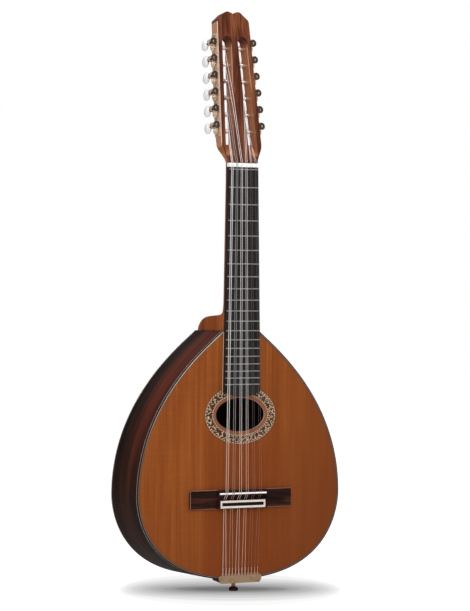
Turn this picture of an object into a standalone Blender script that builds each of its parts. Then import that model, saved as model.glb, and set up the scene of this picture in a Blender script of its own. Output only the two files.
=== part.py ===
# A laud, the twelve-string Spanish lute, as an assembly of its separate pieces.
# Metres. The soundboard lies in the plane Y = 0 and faces -Y, the neck runs up +Z,
# and +X is the right of someone who faces the soundboard. The origin lies between
# the arms of the yoke that the head hangs in, just above the nut.

import math

import bmesh
import bpy
from mathutils import Matrix, Vector

MM = 0.001
GAP = 0.3 * MM

# Strings and frets
SCALE = 500 * MM
SADDLE_Z = -518 * MM
ZERO_FRET_Z = SADDLE_Z + SCALE
FRETS = 19
COURSES = 6
NUT_SPREAD = 44.7 * MM
NUT_PAIR = 2.5 * MM
SADDLE_SPREAD = 63.9 * MM
SADDLE_PAIR = 3.5 * MM
TAIL_SPREAD = 62 * MM
COURSE_DIAMETERS = [1.05 * MM, 0.85 * MM, 0.7 * MM, 0.6 * MM, 0.5 * MM, 0.45 * MM]

# Body
JOINT_Z = SADDLE_Z + SCALE / 2
BODY_DEPTH = 88.5 * MM
BODY_BOTTOM = 135.8 * MM
BODY_HALF = 179.7 * MM
JOINT_HALF = 32.9 * MM
WIDEST_BELOW_SADDLE = 3.3 * MM
PLATE = 2.6 * MM
RIB = 2.2 * MM
BINDING_WIDE = 2.0 * MM
BINDING_TALL = 4.0 * MM
LINING_WIDE = 6.5 * MM
LINING_TALL = 9 * MM
HOLE_Z = SADDLE_Z + 119.6 * MM
HOLE_HALF_X = 43.3 * MM
HOLE_HALF_Z = 26.1 * MM
ROSETTE_INSET = 4.7 * MM
ROSETTE_WIDE = 15.2 * MM
ROSETTE_DEEP = 1.0 * MM

# Neck, fingerboard and nut
BOARD_THICK = 6 * MM
BOARD_FRONT = -GAP - BOARD_THICK
BOARD_HALF_NUT = 26.3 * MM
BOARD_HALF_JOINT = 30.4 * MM
BOARD_END_CORNER = SADDLE_Z + 155 * MM
BOARD_END_CENTRE = SADDLE_Z + 147.5 * MM
FRET_TALL = 1.1 * MM
FRET_WIDE = 2.2 * MM
FRET_FRONT = BOARD_FRONT - FRET_TALL
NUT_LOW = ZERO_FRET_Z + 3.5 * MM
NUT_HIGH = ZERO_FRET_Z + 9.5 * MM
NUT_FRONT = -8.7 * MM
NECK_TOP = ZERO_FRET_Z + 10 * MM
NECK_DEEP_NUT = 14.5 * MM
NECK_DEEP_JOINT = 17 * MM

# Head, in its own frame: X across, Y back from the face, Z up along it
HEAD_TILT = math.radians(8.5)
HEAD_PIVOT = Vector((0, -5 * MM, ZERO_FRET_Z + 8 * MM))
HEAD_START = 2.7 * MM
VENEER = 3.0 * MM
HEAD_THICK = 23 * MM
HEAD_HALF_AT_ZERO = 36.2 * MM
HEAD_TAPER = 0.0368
SLOT_WALL = 6.7 * MM
SLOT_WIDE = 17.0 * MM
SLOT_TOP = 203.6 * MM
RAMP_START = 13 * MM
SLOT_STRAIGHT = 45 * MM

# Tuning machines
MACHINES = 6
FIRST_ROLLER = 54.2 * MM
MACHINE_PITCH = 26.5 * MM
ROLLER_DEPTH = 11.5 * MM
ROLLER_RADIUS = 3 * MM
ROLLER_TIP = 3 * MM
ROLLER_SIDES = 10
MACHINE_PLATE = 1.0 * MM
MODULE = 0.8 * MM
TEETH = 14
GEAR_WIDE = 2.6 * MM
GEAR_PITCH_RADIUS = MODULE * TEETH / 2
WORM_PITCH_RADIUS = 2.4 * MM
WORM_PITCH = math.pi * MODULE
ADDENDUM = 0.62 * MM
DEDENDUM = 0.85 * MM
BACKLASH = 0.32 * MM
WORM_ABOVE = GEAR_PITCH_RADIUS + WORM_PITCH_RADIUS
WORM_OUT = 4.7 * MM
WORM_STEPS = 22
WORM_SIDES = 8
LUG_APART = 13.8 * MM
LUG_THICK = 1.4 * MM
BUTTON_BACK = 23.4 * MM
BUTTON_TALL = 18 * MM
BUTTON_LONG = 17.5 * MM
BUTTON_THICK = 7.6 * MM

# Bridge and tailpiece
BRIDGE_HALF = 90 * MM
BRIDGE_HIGH = SADDLE_Z + 4 * MM
BRIDGE_LOW = SADDLE_Z - 25 * MM
WING_THICK = 4 * MM
SADDLE_HALF = 41 * MM
SADDLE_MID = SADDLE_Z - 1.7 * MM
SADDLE_THICK = 2.6 * MM
SADDLE_FRONT = -11.6 * MM
BLOCK_HIGH = SADDLE_Z - 11.6 * MM
BLOCK_FRONT = -9.2 * MM
BLOCK_HOLE_Y = -5.6 * MM
BLOCK_HOLE_RADIUS = 1.1 * MM
FRAME_HALF = 39.8 * MM
FRAME_HIGH = SADDLE_Z - 12.4 * MM
FRAME_LOW = SADDLE_Z - 24.2 * MM
TAIL_TOP = SADDLE_Z - 129 * MM
TAIL_BOTTOM = SADDLE_Z - 141.4 * MM
TAIL_THICK = 1.5 * MM
TAIL_FRONT = -2.4 * MM
TAIL_HALF = 38.4 * MM
FOOT_Y = 19.5 * MM
FOOT_LOW = SADDLE_Z - 155.4 * MM
SHANK_RADIUS = 2 * MM
SHANK_HOLE = 2.4 * MM
WINDING_TURNS = 2.25
WINDING_POINTS = 8

COLOURS = {
    "cedar": ((0.36, 0.13, 0.035), 0.35, 0.0),
    "rosewood": ((0.045, 0.018, 0.012), 0.3, 0.0),
    "head_rosewood": ((0.16, 0.045, 0.018), 0.3, 0.0),
    "mahogany": ((0.3, 0.1, 0.035), 0.35, 0.0),
    "ebony": ((0.012, 0.011, 0.011), 0.4, 0.0),
    "spruce": ((0.6, 0.42, 0.24), 0.6, 0.0),
    "bone": ((0.85, 0.82, 0.74), 0.4, 0.0),
    "inlay": ((0.55, 0.45, 0.3), 0.4, 0.0),
    "brass": ((0.55, 0.4, 0.16), 0.3, 1.0),
    "steel": ((0.6, 0.6, 0.58), 0.3, 1.0),
}


def clear_scene():
    for obj in list(bpy.data.objects):
        bpy.data.objects.remove(obj, do_unlink=True)


def new_collection(name):
    collection = bpy.data.collections.new(name)
    bpy.context.scene.collection.children.link(collection)
    return collection


def new_material(name):
    colour, roughness, metallic = COLOURS[name]
    material = bpy.data.materials.new(name)
    material.use_nodes = True
    shader = material.node_tree.nodes["Principled BSDF"]
    shader.inputs["Base Color"].default_value = (*colour, 1)
    shader.inputs["Roughness"].default_value = roughness
    shader.inputs["Metallic"].default_value = metallic
    return material


def place(obj, material=None, parent=None):
    """Link an object as a piece of the laud."""
    parts.objects.link(obj)
    obj.parent = parent
    if material:
        obj.data.materials.clear()
        obj.data.materials.append(materials[material])
    return obj


def place_cutter(obj, parent=None):
    cutters.objects.link(obj)
    obj.parent = parent
    obj.hide_render = True
    obj.display_type = "WIRE"
    return obj


def new_empty(name, location, rotation=(0, 0, 0), parent=None):
    empty = bpy.data.objects.new(name, None)
    empty.location = location
    empty.rotation_euler = rotation
    parts.objects.link(empty)
    empty.parent = parent
    return empty


def object_from(bm, name):
    mesh = bpy.data.meshes.new(name)
    bm.to_mesh(mesh)
    bm.free()
    return bpy.data.objects.new(name, mesh)


def smooth(obj, angle=35):
    obj.data.shade_smooth()
    obj.data.set_sharp_from_angle(angle=math.radians(angle))
    return obj


def box(name, low, high):
    bm = bmesh.new()
    bmesh.ops.create_cube(bm, size=1)
    low = Vector(low)
    high = Vector(high)
    bmesh.ops.scale(bm, vec=high - low, verts=bm.verts)
    bmesh.ops.translate(bm, vec=(high + low) / 2, verts=bm.verts)
    return object_from(bm, name)


def cylinder(bm, radius, start, end, sides=12, end_radius=None):
    """Add a closed cylinder or cone to bm, from start to end."""
    start = Vector(start)
    end = Vector(end)
    along = end - start
    turn = Vector((0, 0, 1)).rotation_difference(along).to_matrix().to_4x4()
    matrix = Matrix.Translation((start + end) / 2) @ turn
    return bmesh.ops.create_cone(
        bm,
        cap_ends=True,
        segments=sides,
        radius1=radius,
        radius2=radius if end_radius is None else end_radius,
        depth=along.length,
        matrix=matrix,
    )


def bore_radius(radius, sides, room=GAP):
    """The radius of a polygon whose flats stay clear of a round piece by the room given."""
    return (radius + room) / math.cos(math.pi / sides)


def extruded(name, outline, axis, start, end):
    """A closed prism: the outline's points, pushed along X or Y from start to end."""
    bm = bmesh.new()
    places = {"X": lambda a, b: (start, a, b), "Y": lambda a, b: (a, start, b)}
    face = bm.faces.new([bm.verts.new(places[axis](a, b)) for a, b in outline])
    moved = bmesh.ops.extrude_face_region(bm, geom=[face])
    step = Vector((1, 0, 0)) if axis == "X" else Vector((0, 1, 0))
    verts = [item for item in moved["geom"] if isinstance(item, bmesh.types.BMVert)]
    bmesh.ops.translate(bm, vec=step * (end - start), verts=verts)
    bmesh.ops.recalc_face_normals(bm, faces=bm.faces)
    return object_from(bm, name)


def flat_curve(name, outlines, front, back):
    """A flat plate facing -Y between two Y values, cut from one 2D curve with holes."""
    curve = bpy.data.curves.new(name, "CURVE")
    curve.dimensions = "2D"
    curve.fill_mode = "BOTH"
    curve.extrude = (back - front) / 2
    for outline in outlines:
        spline = curve.splines.new("POLY")
        spline.points.add(len(outline) - 1)
        for point, (x, z) in zip(spline.points, outline):
            point.co = (x, z, 0, 1)
        spline.use_cyclic_u = True
    obj = bpy.data.objects.new(name, curve)
    obj.rotation_euler = (math.pi / 2, 0, 0)
    obj.location = (0, (front + back) / 2, 0)
    return obj


def as_mesh(obj):
    """Turn an unlinked curve, or an object with modifiers, into a plain welded mesh object."""
    scene = bpy.context.scene.collection
    scene.objects.link(obj)
    bpy.context.view_layer.update()
    graph = bpy.context.evaluated_depsgraph_get()
    mesh = bpy.data.meshes.new_from_object(obj.evaluated_get(graph))
    mesh.transform(obj.matrix_world)
    name = obj.name
    bpy.data.objects.remove(obj, do_unlink=True)
    mesh.name = name
    bm = bmesh.new()
    bm.from_mesh(mesh)
    bmesh.ops.remove_doubles(bm, verts=bm.verts, dist=1e-6)
    bmesh.ops.recalc_face_normals(bm, faces=bm.faces)
    bm.to_mesh(mesh)
    bm.free()
    return bpy.data.objects.new(name, mesh)


def plate(name, outlines, front, back):
    return as_mesh(flat_curve(name, outlines, front, back))


def combine(target, other, operation):
    modifier = target.modifiers.new(operation.lower(), "BOOLEAN")
    modifier.operation = operation
    modifier.solver = "EXACT"
    modifier.object = other
    return target


def joined(target, *others):
    """Union shapes that share one frame, as one mesh object."""
    scene = bpy.context.scene.collection
    for other in others:
        scene.objects.link(other)
        combine(target, other, "UNION")
    result = as_mesh(target)
    for other in others:
        bpy.data.objects.remove(other, do_unlink=True)
    return result


def bezier(a, b, c, d, steps):
    points = []
    for step in range(steps):
        t = step / steps
        s = 1 - t
        weights = (s**3, 3 * s * s * t, 3 * s * t * t, t**3)
        x = sum(w * p[0] for w, p in zip(weights, (a, b, c, d)))
        z = sum(w * p[1] for w, p in zip(weights, (a, b, c, d)))
        points.append((x, z))
    return points


def half_outline(steps, inset=0.0):
    """The body's right half seen from the front, from the bottom centre up to the neck joint."""
    widest = SADDLE_Z - WIDEST_BELOW_SADDLE
    low = SADDLE_Z - BODY_BOTTOM
    lower = bezier(
        (0, low),
        (171 * MM, low),
        (BODY_HALF, widest - 20 * MM),
        (BODY_HALF, widest),
        steps,
    )
    upper = bezier(
        (BODY_HALF, widest),
        (BODY_HALF, widest + 151 * MM),
        (JOINT_HALF + 18 * MM, JOINT_Z - 17.5 * MM),
        (JOINT_HALF, JOINT_Z),
        steps,
    )
    points = [Vector(p) for p in lower + upper + [(JOINT_HALF, JOINT_Z)]]
    moved = []
    for i, point in enumerate(points):
        before = points[i - 1] if i else Vector((-points[1].x, points[1].y))
        after = points[i + 1] if i + 1 < len(points) else point + (point - before)
        along = (after - before).normalized()
        inward = Vector((-along.y, along.x))
        moved.append(point + inward * inset)
    return [(p.x, p.y) for p in moved]


def body_outline(steps, inset=0.0):
    right = half_outline(steps, inset)
    left = [(-x, z) for x, z in reversed(right)]
    return right + left[:-1]


def cut_short(points, axis, limit):
    """The run of points up to where it passes a limit, ending exactly on it."""
    kept = []
    for point, after in zip(points, points[1:]):
        kept.append(point)
        if after[axis] > limit:
            share = (limit - point[axis]) / (after[axis] - point[axis])
            kept.append(tuple(a + (b - a) * share for a, b in zip(point, after)))
            break
    return kept


def band_outline(steps, outer, inner, top=JOINT_Z + 1):
    """A C-shaped band that follows the body's outline and is open at the neck."""
    return open_loop(steps, outer, top) + open_loop(steps, inner, top)[::-1]


def open_loop(steps, inset, top):
    right = cut_short(half_outline(steps, inset) + [(0, top + 1)], 1, top)
    if top > JOINT_Z:
        right = half_outline(steps, inset)
    left = [(-x, z) for x, z in reversed(right)]
    return left[:-1] + right


def ellipse(half_x, half_z, count):
    points = []
    for i in range(count):
        angle = 2 * math.pi * i / count
        points.append((half_x * math.cos(angle), HOLE_Z + half_z * math.sin(angle)))
    return points


def board_half(z):
    """Half the fingerboard's width at height z."""
    slope = (BOARD_HALF_JOINT - BOARD_HALF_NUT) / (ZERO_FRET_Z - JOINT_Z)
    return BOARD_HALF_NUT + slope * (ZERO_FRET_Z - z)


def fret_z(number):
    return SADDLE_Z + SCALE * 2 ** (-number / 12)


# Soundbox


def build_soundboard():
    hole = ellipse(HOLE_HALF_X, HOLE_HALF_Z, 32)
    board = plate("soundboard", [body_outline(14, BINDING_WIDE + GAP), hole], 0, PLATE)
    place(board, "cedar")
    inner = ROSETTE_INSET - GAP
    outer = ROSETTE_INSET + ROSETTE_WIDE + GAP
    rings = [
        ellipse(HOLE_HALF_X + outer, HOLE_HALF_Z + outer, 36),
        ellipse(HOLE_HALF_X + inner, HOLE_HALF_Z + inner, 36),
    ]
    groove = plate("rosette_groove", rings, -MM, ROSETTE_DEEP + GAP)
    combine(board, place_cutter(groove), "DIFFERENCE")


def build_rosette():
    outer = ROSETTE_INSET + ROSETTE_WIDE
    rings = [
        ellipse(HOLE_HALF_X + outer, HOLE_HALF_Z + outer, 36),
        ellipse(HOLE_HALF_X + ROSETTE_INSET, HOLE_HALF_Z + ROSETTE_INSET, 36),
    ]
    place(plate("rosette", rings, 0, ROSETTE_DEEP), "inlay")


def build_back():
    outline = body_outline(14, BINDING_WIDE + GAP)
    back = plate("back_plate", [outline], BODY_DEPTH - PLATE, BODY_DEPTH)
    place(back, "rosewood")


def build_bindings():
    outline = band_outline(14, 0, BINDING_WIDE)
    place(plate("top_binding", [outline], 0, BINDING_TALL), "ebony")
    low = BODY_DEPTH - BINDING_TALL
    place(plate("back_binding", [outline], low, BODY_DEPTH), "ebony")


def build_lining():
    outer = RIB + 0.9 * MM
    outline = band_outline(7, outer, outer + LINING_WIDE, JOINT_Z - 20 * MM)
    front = PLATE + GAP
    place(plate("top_lining", [outline], front, front + LINING_TALL), "spruce")


def build_ribs(shank_hole):
    """Two bent sides that meet under the end button, made as open sheets given a thickness."""
    points = half_outline(14)
    points[0] = (GAP, points[0][1])
    points[-1] = (points[-1][0], points[-1][1] - GAP)
    front = BINDING_TALL + GAP
    back = BODY_DEPTH - BINDING_TALL - GAP
    for side, name in ((-1, "rib_left"), (1, "rib_right")):
        bm = bmesh.new()
        verts = [bm.verts.new((side * x, front, z)) for x, z in points]
        edges = [bm.edges.new(pair) for pair in zip(verts, verts[1:])]
        moved = bmesh.ops.extrude_edge_only(bm, edges=edges)
        ends = [item for item in moved["geom"] if isinstance(item, bmesh.types.BMVert)]
        bmesh.ops.translate(bm, vec=(0, back - front, 0), verts=ends)
        bmesh.ops.recalc_face_normals(bm, faces=bm.faces)
        rib = object_from(bm, name)
        outward = rib.data.polygons[len(rib.data.polygons) // 2].normal.x * side
        solid = rib.modifiers.new("thickness", "SOLIDIFY")
        solid.thickness = RIB
        solid.offset = -1 if outward > 0 else 1
        solid.use_even_offset = True
        place(rib, "rosewood")
        combine(rib, shank_hole, "DIFFERENCE")


def build_braces():
    """Two bars glued across the inside of the soundboard, above and below the sound hole."""
    front = PLATE + GAP
    inside = half_outline(14, RIB + LINING_WIDE + 2 * MM)
    for name, z in (("upper_brace", HOLE_Z + 62 * MM), ("lower_brace", HOLE_Z - 58 * MM)):
        near = min(inside, key=lambda point: abs(point[1] - z))
        half = near[0] - 9 * MM
        tall = 14 * MM
        outline = [
            (-half, front),
            (-half, front + 4 * MM),
            (-half + 30 * MM, front + tall),
            (half - 30 * MM, front + tall),
            (half, front + 4 * MM),
            (half, front),
        ]
        bm = bmesh.new()
        face = bm.faces.new([bm.verts.new((x, y, z - 4 * MM)) for x, y in outline])
        moved = bmesh.ops.extrude_face_region(bm, geom=[face])
        verts = [item for item in moved["geom"] if isinstance(item, bmesh.types.BMVert)]
        bmesh.ops.translate(bm, vec=(0, 0, 8 * MM), verts=verts)
        bmesh.ops.recalc_face_normals(bm, faces=bm.faces)
        place(object_from(bm, name), "spruce")


def build_tail_block(shank_hole):
    front = PLATE + LINING_TALL + 3 * GAP
    back = BODY_DEPTH - PLATE - 10 * MM
    low = cut_short(half_outline(14, RIB + 2 * GAP), 0, 30 * MM)
    top = SADDLE_Z - BODY_BOTTOM + 18 * MM
    right = low + [(low[-1][0], top)]
    outline = right + [(-x, z) for x, z in reversed(right)][:-1]
    block = extruded("tail_block", outline, "Y", front, back)
    place(block, "mahogany")
    combine(block, shank_hole, "DIFFERENCE")


# Neck


def d_section(z, half, deep, power, front=0.0, narrow=0.0, count=12):
    """A section across the neck: flat in front, round behind, squarer for a higher power."""
    points = []
    for i in range(count + 1):
        angle = math.pi * i / count
        across = math.copysign(abs(math.cos(angle)) ** (2 / power), math.cos(angle))
        behind = math.sin(angle) ** (2 / power)
        x = half * across * (1 - narrow * behind)
        points.append((x, front + deep * behind, z))
    return points


def loft(name, sections):
    """Skin a run of sections that all have the same number of points, and cap both ends."""
    bm = bmesh.new()
    rings = [[bm.verts.new(point) for point in section] for section in sections]
    for low, high in zip(rings, rings[1:]):
        for i in range(len(low)):
            j = (i + 1) % len(low)
            bm.faces.new((low[i], low[j], high[j], high[i]))
    bm.faces.new(rings[0])
    bm.faces.new(rings[-1])
    bmesh.ops.recalc_face_normals(bm, faces=bm.faces)
    return object_from(bm, name)


def slanted(x, y):
    """The point over (x, y) on the sloping plane where the neck ends and the head begins."""
    rise = HEAD_START - GAP - (y - HEAD_PIVOT.y) * math.sin(HEAD_TILT)
    return x, y, HEAD_PIVOT.z + rise / math.cos(HEAD_TILT)


def build_neck():
    """Shaft, heel and the foot inside the body, carved from one piece."""
    # Height above the joint, depth, power and how much the back narrows, for the heel
    heel = [
        (0, 88.5, 20, 0),
        (5, 87.5, 18, 0.005),
        (11.5, 84, 14, 0.01),
        (17.5, 77, 11, 0.02),
        (21.3, 66, 8, 0.03),
        (23, 50, 5.5, 0.04),
        (24, 35, 3.6, 0.03),
        (25.8, 25, 2.8, 0.02),
        (30, 20, 2.3, 0),
        (42, 17, 2.1, 0),
    ]
    sections = []
    for up, deep, power, narrow in heel:
        z = JOINT_Z + up * MM
        sections.append(d_section(z, board_half(z), deep * MM, power, narrow=narrow))
    for share in (0.35, 0.7, 0.95):
        z = JOINT_Z + (ZERO_FRET_Z - JOINT_Z) * share
        deep = NECK_DEEP_JOINT + (NECK_DEEP_NUT - NECK_DEEP_JOINT) * share
        sections.append(d_section(z, board_half(z), deep, 2.1))
    top = d_section(NECK_TOP, BOARD_HALF_NUT, NECK_DEEP_NUT + 0.3 * MM, 2.4)
    sections.append([slanted(x, y) for x, y, z in top])
    neck = loft("neck", sections)
    foot_half = 25 * MM
    foot_low = JOINT_Z - 34 * MM
    front = PLATE + GAP
    back = BODY_DEPTH - PLATE - GAP
    foot = box("foot", (-foot_half, front, foot_low), (foot_half, back, JOINT_Z + 2 * MM))
    place(smooth(joined(neck, foot), 40), "mahogany")


def build_fingerboard():
    """The board's side view with its frets, pushed across and trimmed to the tapered outline."""
    low = BOARD_END_CENTRE - 2 * MM
    high = NUT_LOW - GAP
    profile = [(-GAP, low), (-GAP, high), (BOARD_FRONT, high)]
    half = FRET_WIDE / 2
    for number in range(FRETS + 1):
        z = fret_z(number)
        profile.append((BOARD_FRONT, z + half))
        profile.append((FRET_FRONT, z + half * 0.45))
        profile.append((FRET_FRONT, z - half * 0.45))
        profile.append((BOARD_FRONT, z - half))
    profile.append((BOARD_FRONT, low))
    board = extruded("fingerboard", profile, "X", -40 * MM, 40 * MM)
    end = []
    steps = 8
    for i in range(steps + 1):
        share = 2 * i / steps - 1
        drop = (BOARD_END_CORNER - BOARD_END_CENTRE) * (1 - share * share)
        end.append((board_half(BOARD_END_CORNER) * share, BOARD_END_CORNER - drop))
    top = board_half(high + MM)
    outline = end + [(top, high + MM), (-top, high + MM)]
    trim = extruded("fingerboard_outline", outline, "Y", -20 * MM, 10 * MM)
    combine(place(board, "ebony"), place_cutter(trim), "INTERSECT")


def build_nut():
    half = BOARD_HALF_NUT + 0.2 * MM
    slope = 0.8 * MM
    profile = [
        (-GAP, NUT_LOW),
        (NUT_FRONT, NUT_LOW),
        (NUT_FRONT, NUT_HIGH - 2.5 * MM),
        (NUT_FRONT + slope, NUT_HIGH),
        (-GAP, NUT_HIGH),
    ]
    nut = extruded("nut", profile, "X", -half, half)
    bm = bmesh.new()
    for number in range(2 * COURSES):
        x = string_x(number, NUT_SPREAD, NUT_PAIR)
        radius = string_radius(number)
        floor = FRET_FRONT - GAP + 0.35 * MM
        wide = radius + 0.35 * MM
        matrix = Matrix.Translation((x, floor - 2 * MM, (NUT_LOW + NUT_HIGH) / 2))
        matrix = matrix @ Matrix.Diagonal((2 * wide, 4 * MM, 12 * MM, 1))
        bmesh.ops.create_cube(bm, size=1, matrix=matrix)
    notches = object_from(bm, "nut_notches")
    combine(place(nut, "bone"), place_cutter(notches), "DIFFERENCE")


# Head


def head_half(u):
    """Half the head's width at height u along it, above the horns."""
    return HEAD_HALF_AT_ZERO - HEAD_TAPER * u


def horn_half(u):
    """Half width of the horns that flare out from the nut."""
    share = min(max((u - HEAD_START) / (31 * MM - HEAD_START), 0), 1)
    blend = share * share * (3 - 2 * share)
    return BOARD_HALF_NUT + (head_half(31 * MM) - BOARD_HALF_NUT) * blend


def crest():
    """The top of the head's right half: shoulder, a long slope, a round hump and the notch."""
    side = head_half(226.4 * MM)
    corner = [(side, 226.4 * MM), (side - 1.2 * MM, 229.8 * MM)]
    slope = bezier(
        (side - 1.2 * MM, 229.8 * MM),
        (22 * MM, 233.6 * MM),
        (18 * MM, 237.3 * MM),
        (14.5 * MM, 240.5 * MM),
        4,
    )
    hump = bezier(
        (14.5 * MM, 240.5 * MM),
        (11.5 * MM, 243.2 * MM),
        (6.5 * MM, 243.1 * MM),
        (0, 239 * MM),
        6,
    )
    return corner[:1] + slope + hump + [(0, 239 * MM)]


def head_plan(start, extra=0.0):
    """The whole outline of the head seen square on, from height start up."""
    right = []
    if start < 31 * MM:
        for step in range(7):
            u = start + (31 * MM - start) * step / 6
            right.append((horn_half(u), u))
    else:
        right.append((head_half(start), start))
    right += crest()
    left = [(-x, u) for x, u in reversed(right)]
    return right + left[1:]


def build_head(frame, slot_cutters):
    """The slotted core, lofted from the neck's section out into the horns, trimmed to the crest."""
    front = VENEER + GAP
    full = HEAD_THICK - front
    sections = []
    for u, deep, power in (
        (HEAD_START, 16.1 * MM, 2.4),
        (10 * MM, 16.5 * MM, 2.9),
        (18 * MM, 17.4 * MM, 4),
        (25 * MM, 18.6 * MM, 6.5),
        (31 * MM, 19.4 * MM, 9),
        (44 * MM, full, 14),
        (250 * MM, full, 14),
    ):
        half = horn_half(u) if u < 31 * MM else head_half(u)
        sections.append(d_section(u, half, deep, power, front=front, count=14))
    head = place(loft("head", sections), "mahogany", frame)
    right = [(50 * MM, -10 * MM), (50 * MM, 219 * MM)] + crest()[1:]
    left = [(-x, u) for x, u in reversed(right)]
    trim = extruded("crest_trim", right + left[1:], "Y", -10 * MM, 40 * MM)
    combine(head, place_cutter(trim, frame), "INTERSECT")
    for cutter in slot_cutters:
        combine(head, cutter, "DIFFERENCE")
    smooth(head, 40)


def build_head_veneer(frame, slot_cutters):
    veneer = extruded("head_veneer", head_plan(HEAD_START), "Y", 0, VENEER)
    place(veneer, "head_rosewood", frame)
    for cutter in slot_cutters:
        combine(veneer, cutter, "DIFFERENCE")


def machine_place(side, outward, along):
    """A point of a machine frame in the head's frame: side is -1 left or 1 right."""
    angle = math.atan(HEAD_TAPER)
    middle = FIRST_ROLLER + 2.5 * MACHINE_PITCH
    x = head_half(middle) + outward * math.cos(angle) - along * math.sin(angle)
    z = middle + outward * math.sin(angle) + along * math.cos(angle)
    return side * x, z


def build_slot_cutters(frame, side):
    """The slot itself, its string ramp, and the bores for the rollers, on one side of the head."""
    angle = math.atan(HEAD_TAPER)
    middle = FIRST_ROLLER + 2.5 * MACHINE_PITCH
    spot = (side * head_half(middle), 0, middle)
    name = "left" if side < 0 else "right"
    turn = (0, -side * angle, 0)
    slot_frame = new_empty("slot_frame_" + name, spot, turn, frame)
    near = SLOT_WALL
    far = SLOT_WALL + SLOT_WIDE
    radius = SLOT_WIDE / 2
    top = SLOT_TOP - middle - radius
    outline = [(-side * far, SLOT_STRAIGHT - middle), (-side * near, SLOT_STRAIGHT - middle)]
    for step in range(9):
        round_angle = math.pi * step / 8
        x = (near + far) / 2 - radius * math.cos(round_angle)
        outline.append((-side * x, top + radius * math.sin(round_angle)))
    slot = extruded("slot_" + name, outline, "Y", -5 * MM, HEAD_THICK + 5 * MM)
    start = RAMP_START - middle
    before = 6 * MM
    after = HEAD_THICK + 7 * MM
    wedge = [
        (-before, start - before),
        (-before, SLOT_STRAIGHT - middle + 10 * MM),
        (after, SLOT_STRAIGHT - middle + 10 * MM),
        (after, start + after),
    ]
    ramp = extruded("ramp_" + name, wedge, "X", -side * far, -side * near)
    bm = bmesh.new()
    for number in range(MACHINES):
        along = (number - 2.5) * MACHINE_PITCH
        depth = SLOT_WALL + SLOT_WIDE + ROLLER_TIP + 0.4 * MM
        cylinder(
            bm,
            bore_radius(ROLLER_RADIUS, 8),
            (side * 2 * MM, ROLLER_DEPTH, along),
            (-side * depth, ROLLER_DEPTH, along),
            8,
        )
    bores = object_from(bm, "bores_" + name)
    return [place_cutter(obj, slot_frame) for obj in (slot, ramp, bores)]


# Tuning machines


def gear_points(shift):
    """The wheel's outline, turned by shift: trapezoid teeth with a gap at the top, at +Z."""
    root = GEAR_PITCH_RADIUS - DEDENDUM
    tip = GEAR_PITCH_RADIUS + ADDENDUM
    step = 2 * math.pi / TEETH
    tooth = (WORM_PITCH / 2 - BACKLASH / 2) / GEAR_PITCH_RADIUS
    tip_share = tooth * 0.28
    root_share = tooth * 0.78
    points = []
    for number in range(TEETH):
        middle = (number + 0.5) * step + shift
        for radius, turn in (
            (root, -root_share),
            (tip, -tip_share),
            (tip, tip_share),
            (root, root_share),
        ):
            angle = middle + turn
            points.append((-radius * math.sin(angle), radius * math.cos(angle)))
    return points


def roller_mesh():
    """Roller and helical wheel as one turned piece, with +X pointing out of the head."""
    lead = math.atan(WORM_PITCH / (2 * math.pi * WORM_PITCH_RADIUS))
    half = GEAR_WIDE / 2
    turn = half * math.tan(lead) / GEAR_PITCH_RADIUS
    inner = [(WORM_OUT - half, y, z) for y, z in gear_points(-turn)]
    outer = [(WORM_OUT + half, y, z) for y, z in gear_points(turn)]
    gear = loft("gear", [inner, outer])
    reach = SLOT_WALL + SLOT_WIDE + ROLLER_TIP
    bm = bmesh.new()
    cylinder(bm, ROLLER_RADIUS, (-reach, 0, 0), (WORM_OUT, 0, 0), ROLLER_SIDES)
    whole = joined(gear, object_from(bm, "barrel"))
    mesh = whole.data
    bpy.data.objects.remove(whole)
    return mesh


def round_about(angle, half_x, half_z, y):
    """A point of an oval section across the worm's axis; angle 0 faces the wheel."""
    return (-half_x * math.sin(angle), y, -half_z * math.cos(angle))


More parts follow.
